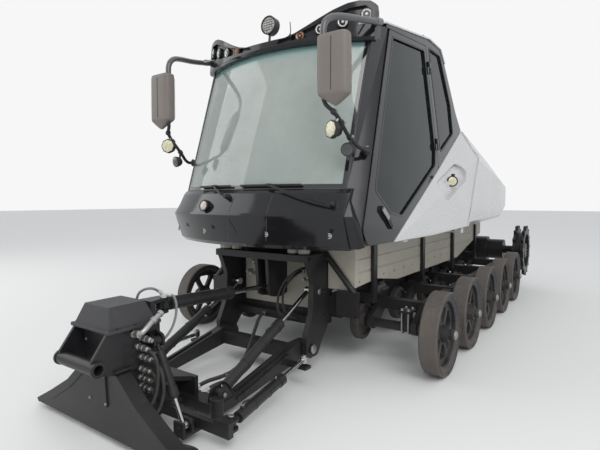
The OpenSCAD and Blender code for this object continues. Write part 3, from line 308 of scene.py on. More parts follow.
def wheelFinish(look):  # the distance from the nearest axle tells tread, sidewall, rim and disc apart
    sheet = NodeSheet("wheelFinish")
    half = look["pitch"] / 2
    along = sheet.maths("ADD", sheet.axis("Y"), half - look["firstAxle"])
    along = sheet.maths("MODULO", along, look["pitch"])
    along = sheet.maths("SUBTRACT", along, half)
    tall = sheet.maths("SUBTRACT", sheet.axis("Z"), look["axleHeight"])
    radius = sheet.maths("SQRT", sheet.maths("ADD", sheet.times(along, along), sheet.times(tall, tall)))
    wear = sheet.ramp(sheet.noise(7.0, 7.0, 0.65), 0.38, 0.68)
    fine = sheet.ramp(sheet.noise(38.0, 5.0, 0.6), 0.35, 0.70)
    tread = sheet.mixColour(sheet.times(wear, fine), look["tread"], look["treadWorn"])
    wall = sheet.mixColour(sheet.times(wear, 0.7), look["wall"], look["wallWorn"])
    rim = sheet.mixColour(sheet.times(wear, 0.5), look["rim"], look["wallWorn"])
    disc = sheet.mixColour(sheet.times(wear, 0.4), look["disc"], look["wallWorn"])
    base = sheet.mixColour(sheet.ramp(radius, look["rimFrom"] - 0.002, look["rimFrom"]), disc, rim)
    base = sheet.mixColour(sheet.ramp(radius, look["rimTo"] - 0.001, look["rimTo"] + 0.001), base, wall)
    base = sheet.mixColour(sheet.ramp(radius, look["treadFrom"] - 0.003, look["treadFrom"]), base, tread)
    low = sheet.ramp(sheet.axis("Z"), 0.0, 0.5, 0.55, 0.1)
    mud = sheet.times(sheet.ramp(sheet.noise(5.0, 8.0, 0.7), 0.45, 0.72), low)
    return sheet.finish({
        "Base Color": sheet.mixColour(mud, base, look["mud"]),
        "Roughness": sheet.ramp(fine, 0.0, 1.0, 0.55, 0.85),
        "Normal": sheet.bump(fine, 0.25, 0.002, sheet.roundEdges(0.004))})


def glassFinish(name, colour, alpha, coat=1.0):
    sheet = NodeSheet(name)
    blotches = sheet.ramp(sheet.noise(3.0, 6.0), 0.42, 0.70)
    lighter = tuple(min(1.0, c * 1.25 + 0.02) for c in colour)
    return sheet.finish({
        "Base Color": sheet.mixColour(sheet.times(blotches, 0.35), colour, lighter),
        "Roughness": sheet.ramp(blotches, 0.0, 1.0, 0.02, 0.07), "Alpha": alpha, "IOR": 1.5,
        "Specular IOR Level": 0.25, "Coat Weight": coat, "Coat Roughness": 0.02})


screenLook = {
    # the two pale green-grey tones below are the glass's own green tint with a painted reflection of the
    # surroundings laid over it
    "clear": (0.50, 0.565, 0.525),
    "lighterReflection": (0.56, 0.615, 0.575),
    "sunband": (0.20, 0.47, 0.46),
    "border": (0.012, 0.012, 0.014),
    "reflectionVeilAlpha": 0.44,
    "bandLow": 2.47,  # the tinted band at the head of the pane, from here upwards
    "bandHigh": 2.56,
    "sideBorder": 0.784,  # the printed border starts this far from the centreline
    "footBorder": 1.478,  # and ends this high at the foot
}


def screenFinish(look):  # pane veiled in a pale green-grey painted reflection over the glass's own green tint, tinted band at its head, black printed border at its sides and foot
    sheet = NodeSheet("screenGlass")
    blotches = sheet.ramp(sheet.noise(1.4, 7.0, 0.62), 0.38, 0.68)
    # base colour: painted reflection in two pale tones, mixed in large blotches
    base = sheet.mixColour(blotches, look["clear"], look["lighterReflection"])
    band = sheet.ramp(sheet.axis("Z"), look["bandLow"], look["bandHigh"])
    base = sheet.mixColour(sheet.times(band, 0.75), base, look["sunband"])
    across = sheet.maths("ABSOLUTE", sheet.axis("X"))
    side = sheet.ramp(across, look["sideBorder"], look["sideBorder"] + 0.003)
    foot = sheet.ramp(sheet.axis("Z"), look["footBorder"] - 0.003, look["footBorder"], 1.0, 0.0)
    border = sheet.maths("MAXIMUM", side, foot)
    # opacity of the pane: how strongly the painted reflection veils the view through it, blotched, and more
    # at the tinted band
    clear = sheet.ramp(blotches, 0.0, 1.0, look["reflectionVeilAlpha"], look["reflectionVeilAlpha"] + 0.08)
    clear = sheet.maths("ADD", clear, sheet.times(band, 0.12))
    return sheet.finish({
        "Base Color": sheet.mixColour(border, base, look["border"]),
        "Alpha": sheet.maths("MAXIMUM", clear, border), "Roughness": sheet.ramp(blotches, 0.0, 1.0, 0.02, 0.06),
        "IOR": 1.5, "Coat Weight": 1.0, "Coat Roughness": 0.02})


def chromeFinish():
    sheet = NodeSheet("chromedRod")
    haze = sheet.noise(30.0, 4.0)
    return sheet.finish({
        "Base Color": sheet.mixColour(sheet.ramp(haze, 0.4, 0.7), (0.56, 0.565, 0.575), (0.47, 0.465, 0.46)),
        "Roughness": sheet.ramp(haze, 0.3, 0.7, 0.16, 0.30), "Metallic": 1.0})


def lensFinish(name, colour, cells, dark=0.55):  # moulded lamp lens: small cells, darker along their borders
    sheet = NodeSheet(name)
    cell = sheet.add("ShaderNodeTexVoronoi")
    sheet.feed(cell, {"Scale": cells, "Vector": sheet.coord})
    rib = sheet.ramp(cell.outputs["Distance"], 0.25, 0.62)
    return sheet.finish({
        "Base Color": sheet.mixColour(rib, colour, tuple(c * dark for c in colour)),
        "Roughness": sheet.ramp(rib, 0.0, 1.0, 0.10, 0.28),
        "Normal": sheet.bump(cell.outputs["Distance"], 0.4, 0.003), "Coat Weight": 1.0,
        "Coat Roughness": 0.03})


materials = {name: weatheredFinish(name, look) for name, look in finishes.items()}
materials["wheel_rubber"] = wheelFinish(wheelLook)
materials["screen_glass"] = screenFinish(screenLook)
materials["dark_glass"] = glassFinish("darkGlass", (0.005, 0.010, 0.008), 0.86, coat=0.12)
materials["mirror_glass"] = glassFinish("mirrorGlass", (0.62, 0.64, 0.65), 1.0)
materials["chrome"] = chromeFinish()
materials["white_lens"] = lensFinish("whiteLens", (0.80, 0.80, 0.76), 90.0)
materials["warm_lens"] = lensFinish("warmLens", (0.80, 0.76, 0.52), 70.0, 0.7)
materials["amber_lens"] = lensFinish("amberLens", (0.62, 0.20, 0.05), 110.0)
materials["red_lens"] = lensFinish("redLens", (0.45, 0.02, 0.02), 110.0)
materials["dark_lens"] = lensFinish("darkLens", (0.05, 0.055, 0.06), 110.0)
materials["pink_lens"] = lensFinish("pinkLens", (0.72, 0.60, 0.56), 90.0)


def dressNodes():
    slots = {row["node"]: row["material_slot"] for row in frame["record"]["subparts"]}
    for name, obj in nodes.items():
        obj.data.materials.clear()
        obj.data.materials.append(materials[slots[name]])


dressNodes()
print("finishes ready")

# Shapes, each a whole array of points in part.scad's millimetres, which makePiece turns into metres

noseAxis = 1050.0  # the upright axis of the bowed nose and windscreen stands this far behind the front axle
sideFoot = (950.0, 1020.0)  # half width of the leaning sides at their foot, and the foot's height
sideLean = 104.0 / 1920.0
axlePitch = 800.0


def mm(points):  # millimetres behind the front axle, as in part.scad, to metres in the row frame
    return np.asarray(points, float) / 1000.0 + np.array([0.0, -1.25, 0.0])


def gridFaces(rows, cols, wrap):  # quads of a grid of points, its last column joined to the first if it wraps
    u, v = np.meshgrid(np.arange(rows - 1), np.arange(cols if wrap else cols - 1), indexing="ij")
    w = (v + 1) % cols
    quads = np.stack([u * cols + v, u * cols + w, (u + 1) * cols + w, (u + 1) * cols + v], axis=-1)
    return quads.reshape(-1, 4).tolist()


def wrapBoth(rows, cols):  # quads of a ring of rings
    u, v = np.meshgrid(np.arange(rows), np.arange(cols), indexing="ij")
    a, b = (u + 1) % rows, (v + 1) % cols
    return np.stack([u * cols + v, u * cols + b, a * cols + b, a * cols + v], axis=-1).reshape(-1, 4).tolist()


def closedTube(grid):  # rows of closed rings, with a flat face over the first ring and the last
    rows, cols = grid.shape[:2]
    faces = gridFaces(rows, cols, True)
    faces.append(list(range(cols))[::-1])
    faces.append(list(range((rows - 1) * cols, rows * cols)))
    return grid.reshape(-1, 3), faces


def shell(outer, inner):  # two grids of the same size, closed along their rims
    grid = np.concatenate([outer, inner[:, ::-1]], axis=1)
    rows, cols = grid.shape[:2]
    faces = gridFaces(rows, cols, True)
    near = np.arange(cols // 2 - 1)
    cap = np.stack([near, near + 1, cols - 2 - near, cols - 1 - near], axis=1)
    faces += cap[:, ::-1].tolist() + (cap + (rows - 1) * cols).tolist()
    return grid.reshape(-1, 3), faces


def joined(shapes):  # several shapes as one list of points and faces
    points, faces, start = [], [], 0
    for shapePoints, shapeFaces in shapes:
        points.append(shapePoints)
        faces += [[index + start for index in face] for face in shapeFaces]
        start += len(shapePoints)
    return np.vstack(points), faces


def mirrored(shape):  # the same shape on the machine's other side, its faces turned the right way round
    points, faces = shape
    return points * np.array([-1.0, 1.0, 1.0]), [face[::-1] for face in faces]


def bothSides(shape):
    return joined([shape, mirrored(shape)])


def squareTo(axis):  # the axis at length one, and two directions square to it and to each other
    axis = np.asarray(axis, float) / np.linalg.norm(axis)
    helper = np.eye(3)[np.argmin(np.abs(axis))]
    side = np.cross(axis, helper)
    side /= np.linalg.norm(side)
    return axis, side, np.cross(axis, side)


def turnedGrid(profile, foot, axis, turns):  # profile rows are distance along the axis and radius there
    profile = np.asarray(profile, float)
    axis, side, up = squareTo(axis)
    angle = np.linspace(0.0, 2 * np.pi, turns, endpoint=False)
    ring = np.cos(angle)[:, None] * side + np.sin(angle)[:, None] * up
    return np.asarray(foot, float) + profile[:, None, :1] * axis + profile[:, None, 1:] * ring


def lathe(profile, foot, axis, turns):
    return closedTube(turnedGrid(profile, foot, axis, turns))


def ringLathe(profile, foot, axis, turns=36):  # a closed profile, turned into a ring
    return turnedGrid(profile, foot, axis, turns).reshape(-1, 3), wrapBoth(len(profile), turns)


def smoothPath(knots, steps):  # Catmull-Rom curve through the knots, evaluated for all spans at once
    knots = np.asarray(knots, float)
    ends = np.vstack([2 * knots[0] - knots[1], knots, 2 * knots[-1] - knots[-2]])
    t = np.linspace(0.0, 1.0, steps, endpoint=False)[None, :, None]
    a, b, c, d = (ends[i:len(ends) - 3 + i][:, None] for i in range(4))
    curve = 0.5 * (2 * b + (c - a) * t + (2 * a - 5 * b + 4 * c - d) * t ** 2
                   + (3 * b - 3 * c + d - a) * t ** 3)
    return np.vstack([curve.reshape(-1, 3), knots[-1]])


def pathLength(path):
    return float(np.linalg.norm(np.diff(np.asarray(path), axis=0), axis=1).sum())


def evenPath(path, step):  # the same line, its points an even step apart
    path = np.asarray(path, float)
    along = np.concatenate([[0.0], np.cumsum(np.linalg.norm(np.diff(path, axis=0), axis=1))])
    count = max(4, int(round(along[-1] / step)) + 1)
    even = np.linspace(0.0, along[-1], count)
    return np.stack([np.interp(even, along, path[:, k]) for k in range(3)], axis=1)


def carried(path, section, closed=False, lean=None):  # section rows are sideways and upward offsets
    path = np.asarray(path, float)
    section = np.asarray(section, float)
    if closed:
        along = np.roll(path, -1, axis=0) - np.roll(path, 1, axis=0)
    else:
        along = np.gradient(path, axis=0)
    along /= np.linalg.norm(along, axis=1, keepdims=True)
    if lean is None:
        lean = np.eye(3)[np.argmin(np.abs(along).max(axis=0))]
    side = np.cross(along, lean)
    side /= np.linalg.norm(side, axis=1, keepdims=True)
    up = np.cross(side, along)
    return path[:, None] + section[:, 0, None] * side[:, None] + section[:, 1, None] * up[:, None]


def oval(width, height, sides):  # points of an oval section
    angle = np.linspace(0.0, 2 * np.pi, sides, endpoint=False)
    return np.stack([np.cos(angle) * width / 2, np.sin(angle) * height / 2], axis=1)


def hose(path, radius, sides=12, lean=None):  # round section carried along a path
    return closedTube(carried(path, oval(2 * radius, 2 * radius, sides), lean=lean))


def ribbedHose(path, radius, pitch, depth, sides=10):  # radius swells and shrinks once each pitch
    path = evenPath(path, pitch / 4)
    along = np.linspace(0.0, pathLength(path), len(path))
    swell = 1.0 - depth * (0.5 - 0.5 * np.cos(2 * np.pi * along / pitch))
    grid = carried(path, oval(2 * radius, 2 * radius, sides))
    return closedTube(path[:, None] + (grid - path[:, None]) * swell[:, None, None])


def loopStrip(path, width, height, lean):  # a rounded strip that follows a closed loop
    grid = carried(path, oval(width, height, 10), closed=True, lean=lean)
    rows, cols = grid.shape[:2]
    return grid.reshape(-1, 3), wrapBoth(rows, cols)


def raised(wave, power):  # to a power, keeping the sign
    return np.sign(wave) * np.abs(wave) ** power


def unitPillow(around, upright, top, rows, cols):  # superellipsoid: waves raised to small powers
    tall = np.linspace(-np.pi / 2, np.pi / 2, rows)[:, None]
    turn = np.linspace(-np.pi, np.pi, cols, endpoint=False)[None]
    wide = raised(np.cos(tall), upright)
    tip = raised(np.sin(tall), top) * np.ones_like(turn)
    return wide * raised(np.cos(turn), around), wide * raised(np.sin(turn), around), tip


def pillow(centre, half, power, rows=24, cols=40):
    shape = np.stack(unitPillow(power[0], power[1], power[1], rows, cols), axis=-1)
    return closedTube(np.asarray(centre, float) + shape * np.asarray(half, float))


def rounded(corners, radius, steps):  # an outline whose corners are arcs
    corners = np.asarray(corners, float)
    back = np.roll(corners, 1, axis=0) - corners
    on = np.roll(corners, -1, axis=0) - corners
    back /= np.linalg.norm(back, axis=1, keepdims=True)
    on /= np.linalg.norm(on, axis=1, keepdims=True)
    half = np.arccos(np.clip((back * on).sum(axis=1), -1, 1)) / 2
    cut = np.asarray(radius) / np.tan(half)
    t = np.linspace(0.0, 1.0, steps)[None, :, None]
    a = (corners + back * cut[:, None])[:, None]
    b = (corners + on * cut[:, None])[:, None]
    c = corners[:, None]
    return ((1 - t) ** 2 * a + 2 * t * (1 - t) * c + t ** 2 * b).reshape(-1, 2)


def plate(half, centre, thickness, chamfer):  # a level rectangle with chamfered rims
    outline = np.array([[-1, -1], [1, -1], [1, 1], [-1, 1]]) * np.asarray(half, float)
    inner = outline * (1 - chamfer / max(half))
    rings = [(inner, 0.0), (outline, chamfer), (outline, thickness - chamfer), (inner, thickness)]
    grid = np.stack([np.column_stack([ring, np.full(4, depth)]) for ring, depth in rings])
    return closedTube(np.asarray(centre, float) + grid)


boltRings = ((0.0, 1.25), (0.25, 1.25), (0.25, 1.0), (0.85, 1.0), (1.0, 0.82))  # shares of height and radius


def boltHeads(places, normals, radius, height):  # hexagonal heads on a washer, with a chamfer
    rows = np.array(boltRings) * [height, radius]
    normals = np.broadcast_to(normals, (len(places), 3))
    return joined([lathe(rows, place, normal, 6) for place, normal in zip(places, normals)])


def bowPoint(radius, x, z):  # a point of the arc about the nose's own axis
    return [x, noseAxis - math.sqrt(radius * radius - x * x), z]


def bowLine(radius, x, z):  # many such points; radius and z are one number or one for each x
    x = np.asarray(x, float)
    return np.stack([x, noseAxis - np.sqrt(radius ** 2 - x * x), z * np.ones_like(x)], axis=1)


def sideX(z):  # half width of the leaning sides at height z
    return sideFoot[0] - (z - sideFoot[1]) * sideLean


def onSide(flat, out):  # points of y and z, laid on the left leaning side
    return np.stack([sideX(flat[:, 1]) + out, flat[:, 0], flat[:, 1]], axis=1)


def sidePatch(outline, radius, near, far):  # a thin plate on the left leaning side, between two offsets
    flat = rounded(outline, radius, 5)
    middle = flat.mean(axis=0)
    rings = ((near, 1.0), ((near + 3 * far) / 4, 1.0), (far, 0.94))
    return closedTube(np.stack([onSide(middle + (flat - middle) * share, out) for out, share in rings]))


def makePiece(name, shape, body, finish, crease=32.0, replaces=()):
    points, faces = shape
    mesh = bpy.data.meshes.new(name)
    mesh.from_pydata(mm(points).tolist(), [], faces)
    work = bmesh.new()
    work.from_mesh(mesh)
    bmesh.ops.remove_doubles(work, verts=work.verts, dist=1e-6)
    bmesh.ops.recalc_face_normals(work, faces=work.faces)
    for edge in work.edges:
        edge.smooth = edge.calc_face_angle(0.0) < math.radians(crease)
    for face in work.faces:
        face.smooth = True
    work.to_mesh(mesh)
    work.free()
    mesh.materials.append(materials[finish])
    piece = placed(name, mesh)
    if body:
        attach(piece, body)
    if replaces:
        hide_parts(*replaces)
    return piece


def makePair(name, shape, body, finish, crease=32.0):  # one piece on each side's own body
    makePiece(name + "_left", shape, body + "_left", finish, crease)
    makePiece(name + "_right", mirrored(shape), body + "_right", finish, crease)


def freeHose(name, knots, radius, body, finish="hose_rubber", ribs=None, bridge=None):
    path = smoothPath(knots, 8)
    if ribs:
        shape = ribbedHose(path, radius, *ribs)
    else:
        path = evenPath(path, max(radius * 0.8, 8.0))
        shape = hose(path, radius)
    piece = makePiece(name, shape, body, finish, crease=60.0)
    path = mm(path)
    if bridge:  # two bodies and two knots, of which only the presence is read: the hose's place is then baked into its points
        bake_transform(piece)


def hexCoupler(foot, axis, scale):  # adaptor nut, neck, swivel nut and crimped sleeve, end on end
    parts = (([[0, 19], [14, 19], [16, 16]], 6), ([[15, 12], [30, 12]], 16),
             ([[28, 15], [30, 18], [46, 18], [48, 15]], 6),
             ([[47, 14], [52, 15], [76, 15], [80, 11], [88, 11]], 16))
    return joined([lathe(np.array(rows) * scale, foot, axis, turns) for rows, turns in parts])


# Mirrors with their arms and work lamps

mirrorLook = {
    "centre": (850.0, -890.0, 2209.0),
    "halfDepth": 50.0,
    # height from the centre, inner and outer half widths, share of the depth
    "rows": [[-233, 8, 26, 0.14], [-226, 0, 38, 0.26], [-200, -44, 72, 0.55], [-172, -92, 105, 0.84],
             [-166, -100, 112, 0.90], [-158, -106, 116, 0.96], [-145, -109, 118, 0.99], [-60, -110, 118, 1.0],
             [60, -112, 116, 1.0], [160, -112, 114, 1.0], [206, -112, 113, 0.98], [218, -110, 111, 0.93],
             [226, -103, 106, 0.82], [231, -88, 96, 0.62]],
    "seam": (-140, -60, 60, 160, 198),  # heights from the centre
    "tube": [[892, -262, 2702], [892, -357, 2678], [862, -540, 2640], [824, -700, 2612], [794, -800, 2585],
             [778, -858, 2546], [772, -884, 2502], [771, -890, 2450], [772, -890, 2405]],
    "tubeRadius": 23.0,
    "lowerArm": [[776, -890, 2062], [776, -888, 2022], [792, -876, 1986], [830, -852, 1946],
                 [850, -808, 1900], [856, -750, 1845], [866, -682, 1787], [892, -615, 1737],
                 [916, -556, 1715], [920, -507, 1712]],
    "armRadius": 14.0,
    # where each clamp sits on the arm and the arm's direction there
    "clamps": [((822, -858, 1954), (38, 24, -40)), ((852, -796, 1889), (6, 58, -55)),
               ((863, -700, 1802), (12, 68, -58))],
    "bolts": [[850, -850, 1946], [873, -780, 1880], [885, -688, 1796], [905, -500, 1740]],
}


def mirrorShell(look):  # upright rows of a rounded section, fuller in front than behind
    low, inner, outer, deep = np.array(look["rows"], float).T[:, :, None]
    turn = np.linspace(0.0, 2 * np.pi, 48, endpoint=False)[None]
    across = raised(np.cos(turn), 0.45)
    along = raised(np.sin(turn), np.where(np.sin(turn) < 0, 0.62, 0.28))
    x = (inner + outer) / 2 + across * (outer - inner) / 2
    y = along * deep * look["halfDepth"]
    return closedTube(look["centre"] + np.stack([x, y, low + 0 * turn], axis=-1))


def mirrorPane(look):  # the reflecting glass, inset on the side that faces the driver
    rows = [row[:3] for row in look["rows"] if -200 < row[0] < 215]
    low, inner, outer = np.array(rows, float).T[:, :, None]
    share = np.linspace(-0.9, 0.9, 11)[None]
    x = (inner + outer) / 2 + share * (outer - inner) / 2
    y, z = look["halfDepth"] + 0 * x, low * 0.93 + 0 * x
    return shell(*(look["centre"] + np.stack([x, y + out, z], axis=-1) for out in (1.5, -14.0)))


makePiece("mirror_shells", bothSides(mirrorShell(mirrorLook)), "chassis", "taupe_plastic",
          replaces=("mirrors",))
makePiece("mirror_panes", bothSides(mirrorPane(mirrorLook)), "chassis", "mirror_glass")
seamPath = [[858, -941.2, mirrorLook["centre"][2] + z] for z in mirrorLook["seam"]]
makePiece("mirror_seams", bothSides(hose(seamPath, 1.6, 8)), "chassis", "black_plastic")
upperTube = joined([
    hose(smoothPath(mirrorLook["tube"], 6), mirrorLook["tubeRadius"], 20),
    lathe([[0, 25], [3, 29], [88, 29], [94, 24]], (892, -258, 2703), (0, -158, -34), 24)])
makePiece("mirror_upper_tubes", bothSides(upperTube), "chassis", "smooth_tube")
clampRows = [[0, 18], [2, 21], [26, 21], [28, 18]]
lowerArm = joined([
    hose(smoothPath(mirrorLook["lowerArm"], 6), mirrorLook["armRadius"], 14),
    lathe([[0, 26], [4, 30], [44, 30], [50, 22]], (882, -480, 1712), (40, -29, 0), 20)]
    + [lathe(clampRows, place, axis, 16) for place, axis in mirrorLook["clamps"]])
makePiece("mirror_lower_arms", bothSides(lowerArm), "chassis", "black_plastic")
makePiece("mirror_arm_bolts", bothSides(boltHeads(mirrorLook["bolts"], [1, -0.4, 0.3], 9, 12)), "chassis",
          "plated_steel")

workLamp = {"place": (826.0, -850.0, 1830.0), "aim": (-0.36, -0.93, 0.0), "radius": 63.0, "fins": 8}
roundLamp = {"place": (872, -728, 1706), "aim": (0.15, -0.97, -0.15)}


def ledLamp(look):  # eight-sided body with a core and cooling fins behind it; radii are shares of the lamp's
    rows = [[[-20, 0.72], [-14, 0.96], [16, 1.0], [22, 0.98]], [[-54, 0.45], [-18, 0.5]]]
    for k in range(look["fins"]):
        back, wide = 4.5 * k, 0.62 + 0.02 * k
        rows.append([[back - 52, wide], [back - 50, wide + 0.04], [back - 49, wide]])
    return joined([lathe(np.array(part) * [1, look["radius"]], look["place"], look["aim"], 8)
                   for part in rows])


makePiece("work_lamp_bodies", bothSides(ledLamp(workLamp)), "chassis", "black_plastic")
ledLens = lathe([[18, 54], [24, 54], [27, 47], [28, 20], [28.4, 2]], workLamp["place"], workLamp["aim"], 8)
makePiece("work_lamp_lenses", bothSides(ledLens), "chassis", "warm_lens", crease=50)
roundBody = joined([
    lathe([[-46, 12], [-44, 26], [-30, 38], [0, 47], [8, 48], [14, 47]], roundLamp["place"],
          roundLamp["aim"], 28),
    hose([[874, -704, 1712], [874, -690, 1744], [868, -690, 1784]], 9, 10)])
makePiece("round_lamp_bodies", bothSides(roundBody), "chassis", "black_plastic")
roundLens = lathe([[12, 41], [16, 41], [19, 30], [20, 3]], roundLamp["place"], roundLamp["aim"], 28)
makePiece("round_lamp_lenses", bothSides(roundLens), "chassis", "dark_lens")
lampStalk = hose([[836, -830, 1884], [842, -822, 1900], [848, -812, 1906]], 12, 10)
makePiece("work_lamp_stalks", bothSides(lampStalk), "chassis", "plated_steel")
print("mirrors ready")

# Lamps in the brow and on the roof

browLamps = [[795, 2762, 44], [640, 2712, 42], [482, 2670, 40], [325, 2640, 36]]  # x, height, radius
browFace = {"radius": 1582.0, "height": 2590.0, "taper": 0.087}  # of the recess that they stand on


def lampParts(x, z, r):  # bezel, bowl and bulb of a lamp in the brow's recess
    bow = browFace["radius"] - (z - browFace["height"]) * browFace["taper"]
    foot = np.array(bowPoint(bow, x, z))
    out = (foot - [0.0, noseAxis, z]) / bow
    bezel = ringLathe([[0, r + 4], [26, r + 3], [29, r], [27, r - 4], [12, r - 6], [0, r - 6]], foot, out)
    bowl = lathe([[18, r - 5.5], [26.2, r - 4.5], [26.6, r - 6], [21, r * 0.62], [19, r * 0.34], [18.7, 2]],
                 foot, out, 28)
    bulb = lathe([[18, r * 0.26], [26, r * 0.25], [29, r * 0.15], [30, 1]], foot, out, 16)
    return bezel, bowl, bulb


bezels, bowls, bulbs = zip(*(lampParts(*row) for row in browLamps))
for name, shapes, finish, slotName in (
        ("bezels", bezels, "black_plastic", "gloss_black"), ("bowls", bowls[:3], "white_lens", "chrome"),
        ("bulbs", bulbs[:3], "white_lens", "chrome"),
        ("ambers", (bowls[3], bulbs[3]), "amber_lens", "gloss_black")):
    makePiece("brow_lamp_" + name, bothSides(joined(shapes)), "chassis", finish)

searchLamp = {"place": np.array([45.0, -545.0, 2772.0]), "gap": 19.0, "guard": 62.0}
guardParts = [ringLathe([[-4, 73], [8, 74], [12, 71], [12, 66], [6, 63], [-4, 63]], searchLamp["place"],
                        (0, -1, 0), 48)]
for step in range(-2, 3):
    off = step * searchLamp["gap"]
    half = math.sqrt(searchLamp["guard"] ** 2 - off ** 2)
    bar = np.array([[off, -9, -half], [off, -11, 0], [off, -9, half]])
    for wire in (bar, np.array([[-half, -9, off], [0, -11, off], [half, -9, off]])):
        guardParts.append(hose(searchLamp["place"] + wire, 1.6, 6))
makePiece("search_lamp_ring", joined(guardParts), "chassis", "black_plastic")
searchLens = lathe([[-2, 64], [3, 64], [6, 52], [8, 30], [8.6, 2]], searchLamp["place"], (0, -1, 0), 40)
makePiece("search_lamp_lens", searchLens, "chassis", "white_lens")
antennaKnots = [[254, -541, 2640], [240, -512, 2706], [212, -482, 2780]]
makePiece("roof_antenna", joined([
    hose(evenPath(antennaKnots, 10), 3.5, 8),
    lathe([[-8, 15], [6, 15], [16, 9], [30, 6], [34, 4]], antennaKnots[0], (-10, 22, 50), 18)]),
    "chassis", "black_plastic")
makePiece("roof_side_markers", bothSides(pillow((812, 930, 2956), (14, 42, 20), (0.5, 0.7))), "chassis",
          "amber_lens")
print("roof lamps ready")

# Seals around the windscreen and the side windows

screenEdge = {
    "low": 1441.0,
    "high": 2603.0,
    "half": 816.0,
    "footHeight": 1442.0,  # of the pane, whose radius goes from the foot's to this much less over its rise
    "footRadius": 1880.0,
    "less": 346.0,
    "rise": 1226.0,
}


def screenLoop(edge, out):  # round the windscreen's border, on a cone about the nose's axis
    low, high, half = edge["low"], edge["high"], edge["half"]
    across = np.linspace(-half, half, 33)
    up = np.linspace(low, high, 25)[1:-1]
    x = np.concatenate([across, np.full(23, half), across[::-1], np.full(23, -half)])
    z = np.concatenate([np.full(33, low), up, np.full(33, high), up[::-1]])
    radius = edge["footRadius"] - edge["less"] * (z - edge["footHeight"]) / edge["rise"]
    return bowLine(radius + out, x, z)


makePiece("windscreen_seal", loopStrip(screenLoop(screenEdge, 1.0), 16, 9, (0, 1, 0)), "chassis",
          "seal_rubber", crease=70)

sideLoops = {  # corners in y and z, their radii, distance out from the leaning side, strip's width and height
    "doorSeal": ([[62, 2698], [-400, 1430], [-130, 1262], [110, 1225], [1050, 1705], [1072, 1850],
                  [838, 2800]], [30, 60, 60, 80, 60, 60, 30], 0.5, 20, 9),
    "quarterSeal": ([[975, 2868], [1345, 2880], [1668, 2420], [1735, 2105], [1240, 1850]],
                    [40, 60, 80, 50, 60], 0.5, 20, 9),
    "doorTrim": ([[-345, 1430], [-60, 1462], [60, 1400], [40, 1300], [-90, 1292]], [20, 30, 40, 30, 60],
                 -52.0, 16, 16),
}


def sideStrip(corners, radii, out, width, height):
    return loopStrip(onSide(rounded(corners, radii, 7), out), width, height, (1, 0, 0))


makePair("door_window_seal", sideStrip(*sideLoops["doorSeal"]), "door", "seal_rubber", 70)
makePiece("quarter_window_seals", bothSides(sideStrip(*sideLoops["quarterSeal"])), "chassis", "seal_rubber",
          70)
makePair("door_trim", sideStrip(*sideLoops["doorTrim"]), "door", "red_trim", 70)
doorHandle = sidePatch([[-338, 1281], [-309, 1309], [-205, 1229], [-233, 1201]], 8, 20, 29)
doorGrip = sidePatch([[-222, 1214], [-196, 1240], [-116, 1172], [-143, 1146]], 8, 20, 26)
makePair("door_handle", doorHandle, "door", "plated_steel")
makePair("door_grip", doorGrip, "door", "seal_rubber")

seamLine = smoothPath([[890, 2089, 2180], [960, 2074, 2074], [1040, 2058, 1950], [1111, 2044, 1845],
                       [1119, 1870, 1570], [1124, 1700, 1300], [1124, 1553, 1078]], 5)
makePiece("side_panel_seams", bothSides(hose(seamLine, 6, 10)), "chassis", "white_fitting")
print("seals ready")

# Side lamp in its dish, nose lamp, latches and wipers

sideLamp = {"place": (1025, 1273, 1555), "aim": (0.574, -0.819, 0.0)}
sideBezel = joined([
    ringLathe([[-14, 56], [4, 57], [8, 54], [8, 47], [2, 46], [-14, 46]], sideLamp["place"], sideLamp["aim"]),
    pillow((1029, 1277, 1621), (20, 22, 12), (0.8, 0.8), 10, 18)])
makePiece("side_lamp_bezels", bothSides(sideBezel), "chassis", "black_plastic")
sideLens = lathe([[-2, 47], [4, 47], [7, 40], [9, 22], [9.4, 2]], sideLamp["place"], sideLamp["aim"], 8)
makePiece("side_lamp_lenses", bothSides(sideLens), "chassis", "warm_lens", crease=50)

noseRadius = 2000.0
noseLamp = {"place": bowPoint(noseRadius, -328.0, 1316.0), "aim": (-0.03, -0.98, 0.2)}
noseBezel = ringLathe([[-12, 46], [3, 47], [7, 44], [7, 38], [0, 37], [-12, 37]], noseLamp["place"],
                      noseLamp["aim"])
noseLens = lathe([[-4, 38], [3, 38], [8, 30], [10.5, 15], [11, 2]], noseLamp["place"], noseLamp["aim"], 28)
makePiece("nose_lamp_bezel", noseBezel, "chassis", "black_plastic")
makePiece("nose_lamp_lens", noseLens, "chassis", "pink_lens")


def noseAt(z):  # outer radius of the nose: upright skirt, crease, then the slope up to the windscreen's foot
    return np.interp(z, [1000.0, 1262.0, 1412.0, 1440.0], [noseRadius, 1992.0, 1912.0, 1890.0])


seamHeights = np.linspace(1062.0, 1392.0, 12)
makePiece("nose_seams", joined([hose(bowLine(noseAt(seamHeights) + 0.6, np.full(12, x), seamHeights), 2.2, 6)
                                for x in (-40.0, 312.0)]), "chassis", "seal_rubber")
latchParts = []
latch = {"z": 1112.0, "radius": 16.0, "turn": np.linspace(-0.6 * np.pi, 0.6 * np.pi, 14)}
for x in (-316.0, 316.0, -770.0, 770.0):
    arc = bowLine(noseRadius + 8.0, x + latch["radius"] * np.cos(latch["turn"]),
                  latch["z"] + latch["radius"] * np.sin(latch["turn"]))
    latchParts.append(hose(arc, 4.5, 8))
    latchParts.append(lathe([[-2, 8], [9, 8], [11, 5]], bowPoint(noseRadius, x, latch["z"]),
                            (x / noseRadius, -1, 0), 12))
makePiece("nose_latches", joined(latchParts), "chassis", "plated_steel")

wiperRows = [[770, 1330, 266, 0, 520], [-100, 1385, -300, -520, -110]]  # pivot x and z, elbow x, blade ends
wiperRest = {"height": 1474.0, "radius": 1912.0, "lift": 38.0, "bulge": 14.0}  # lift is off the nose


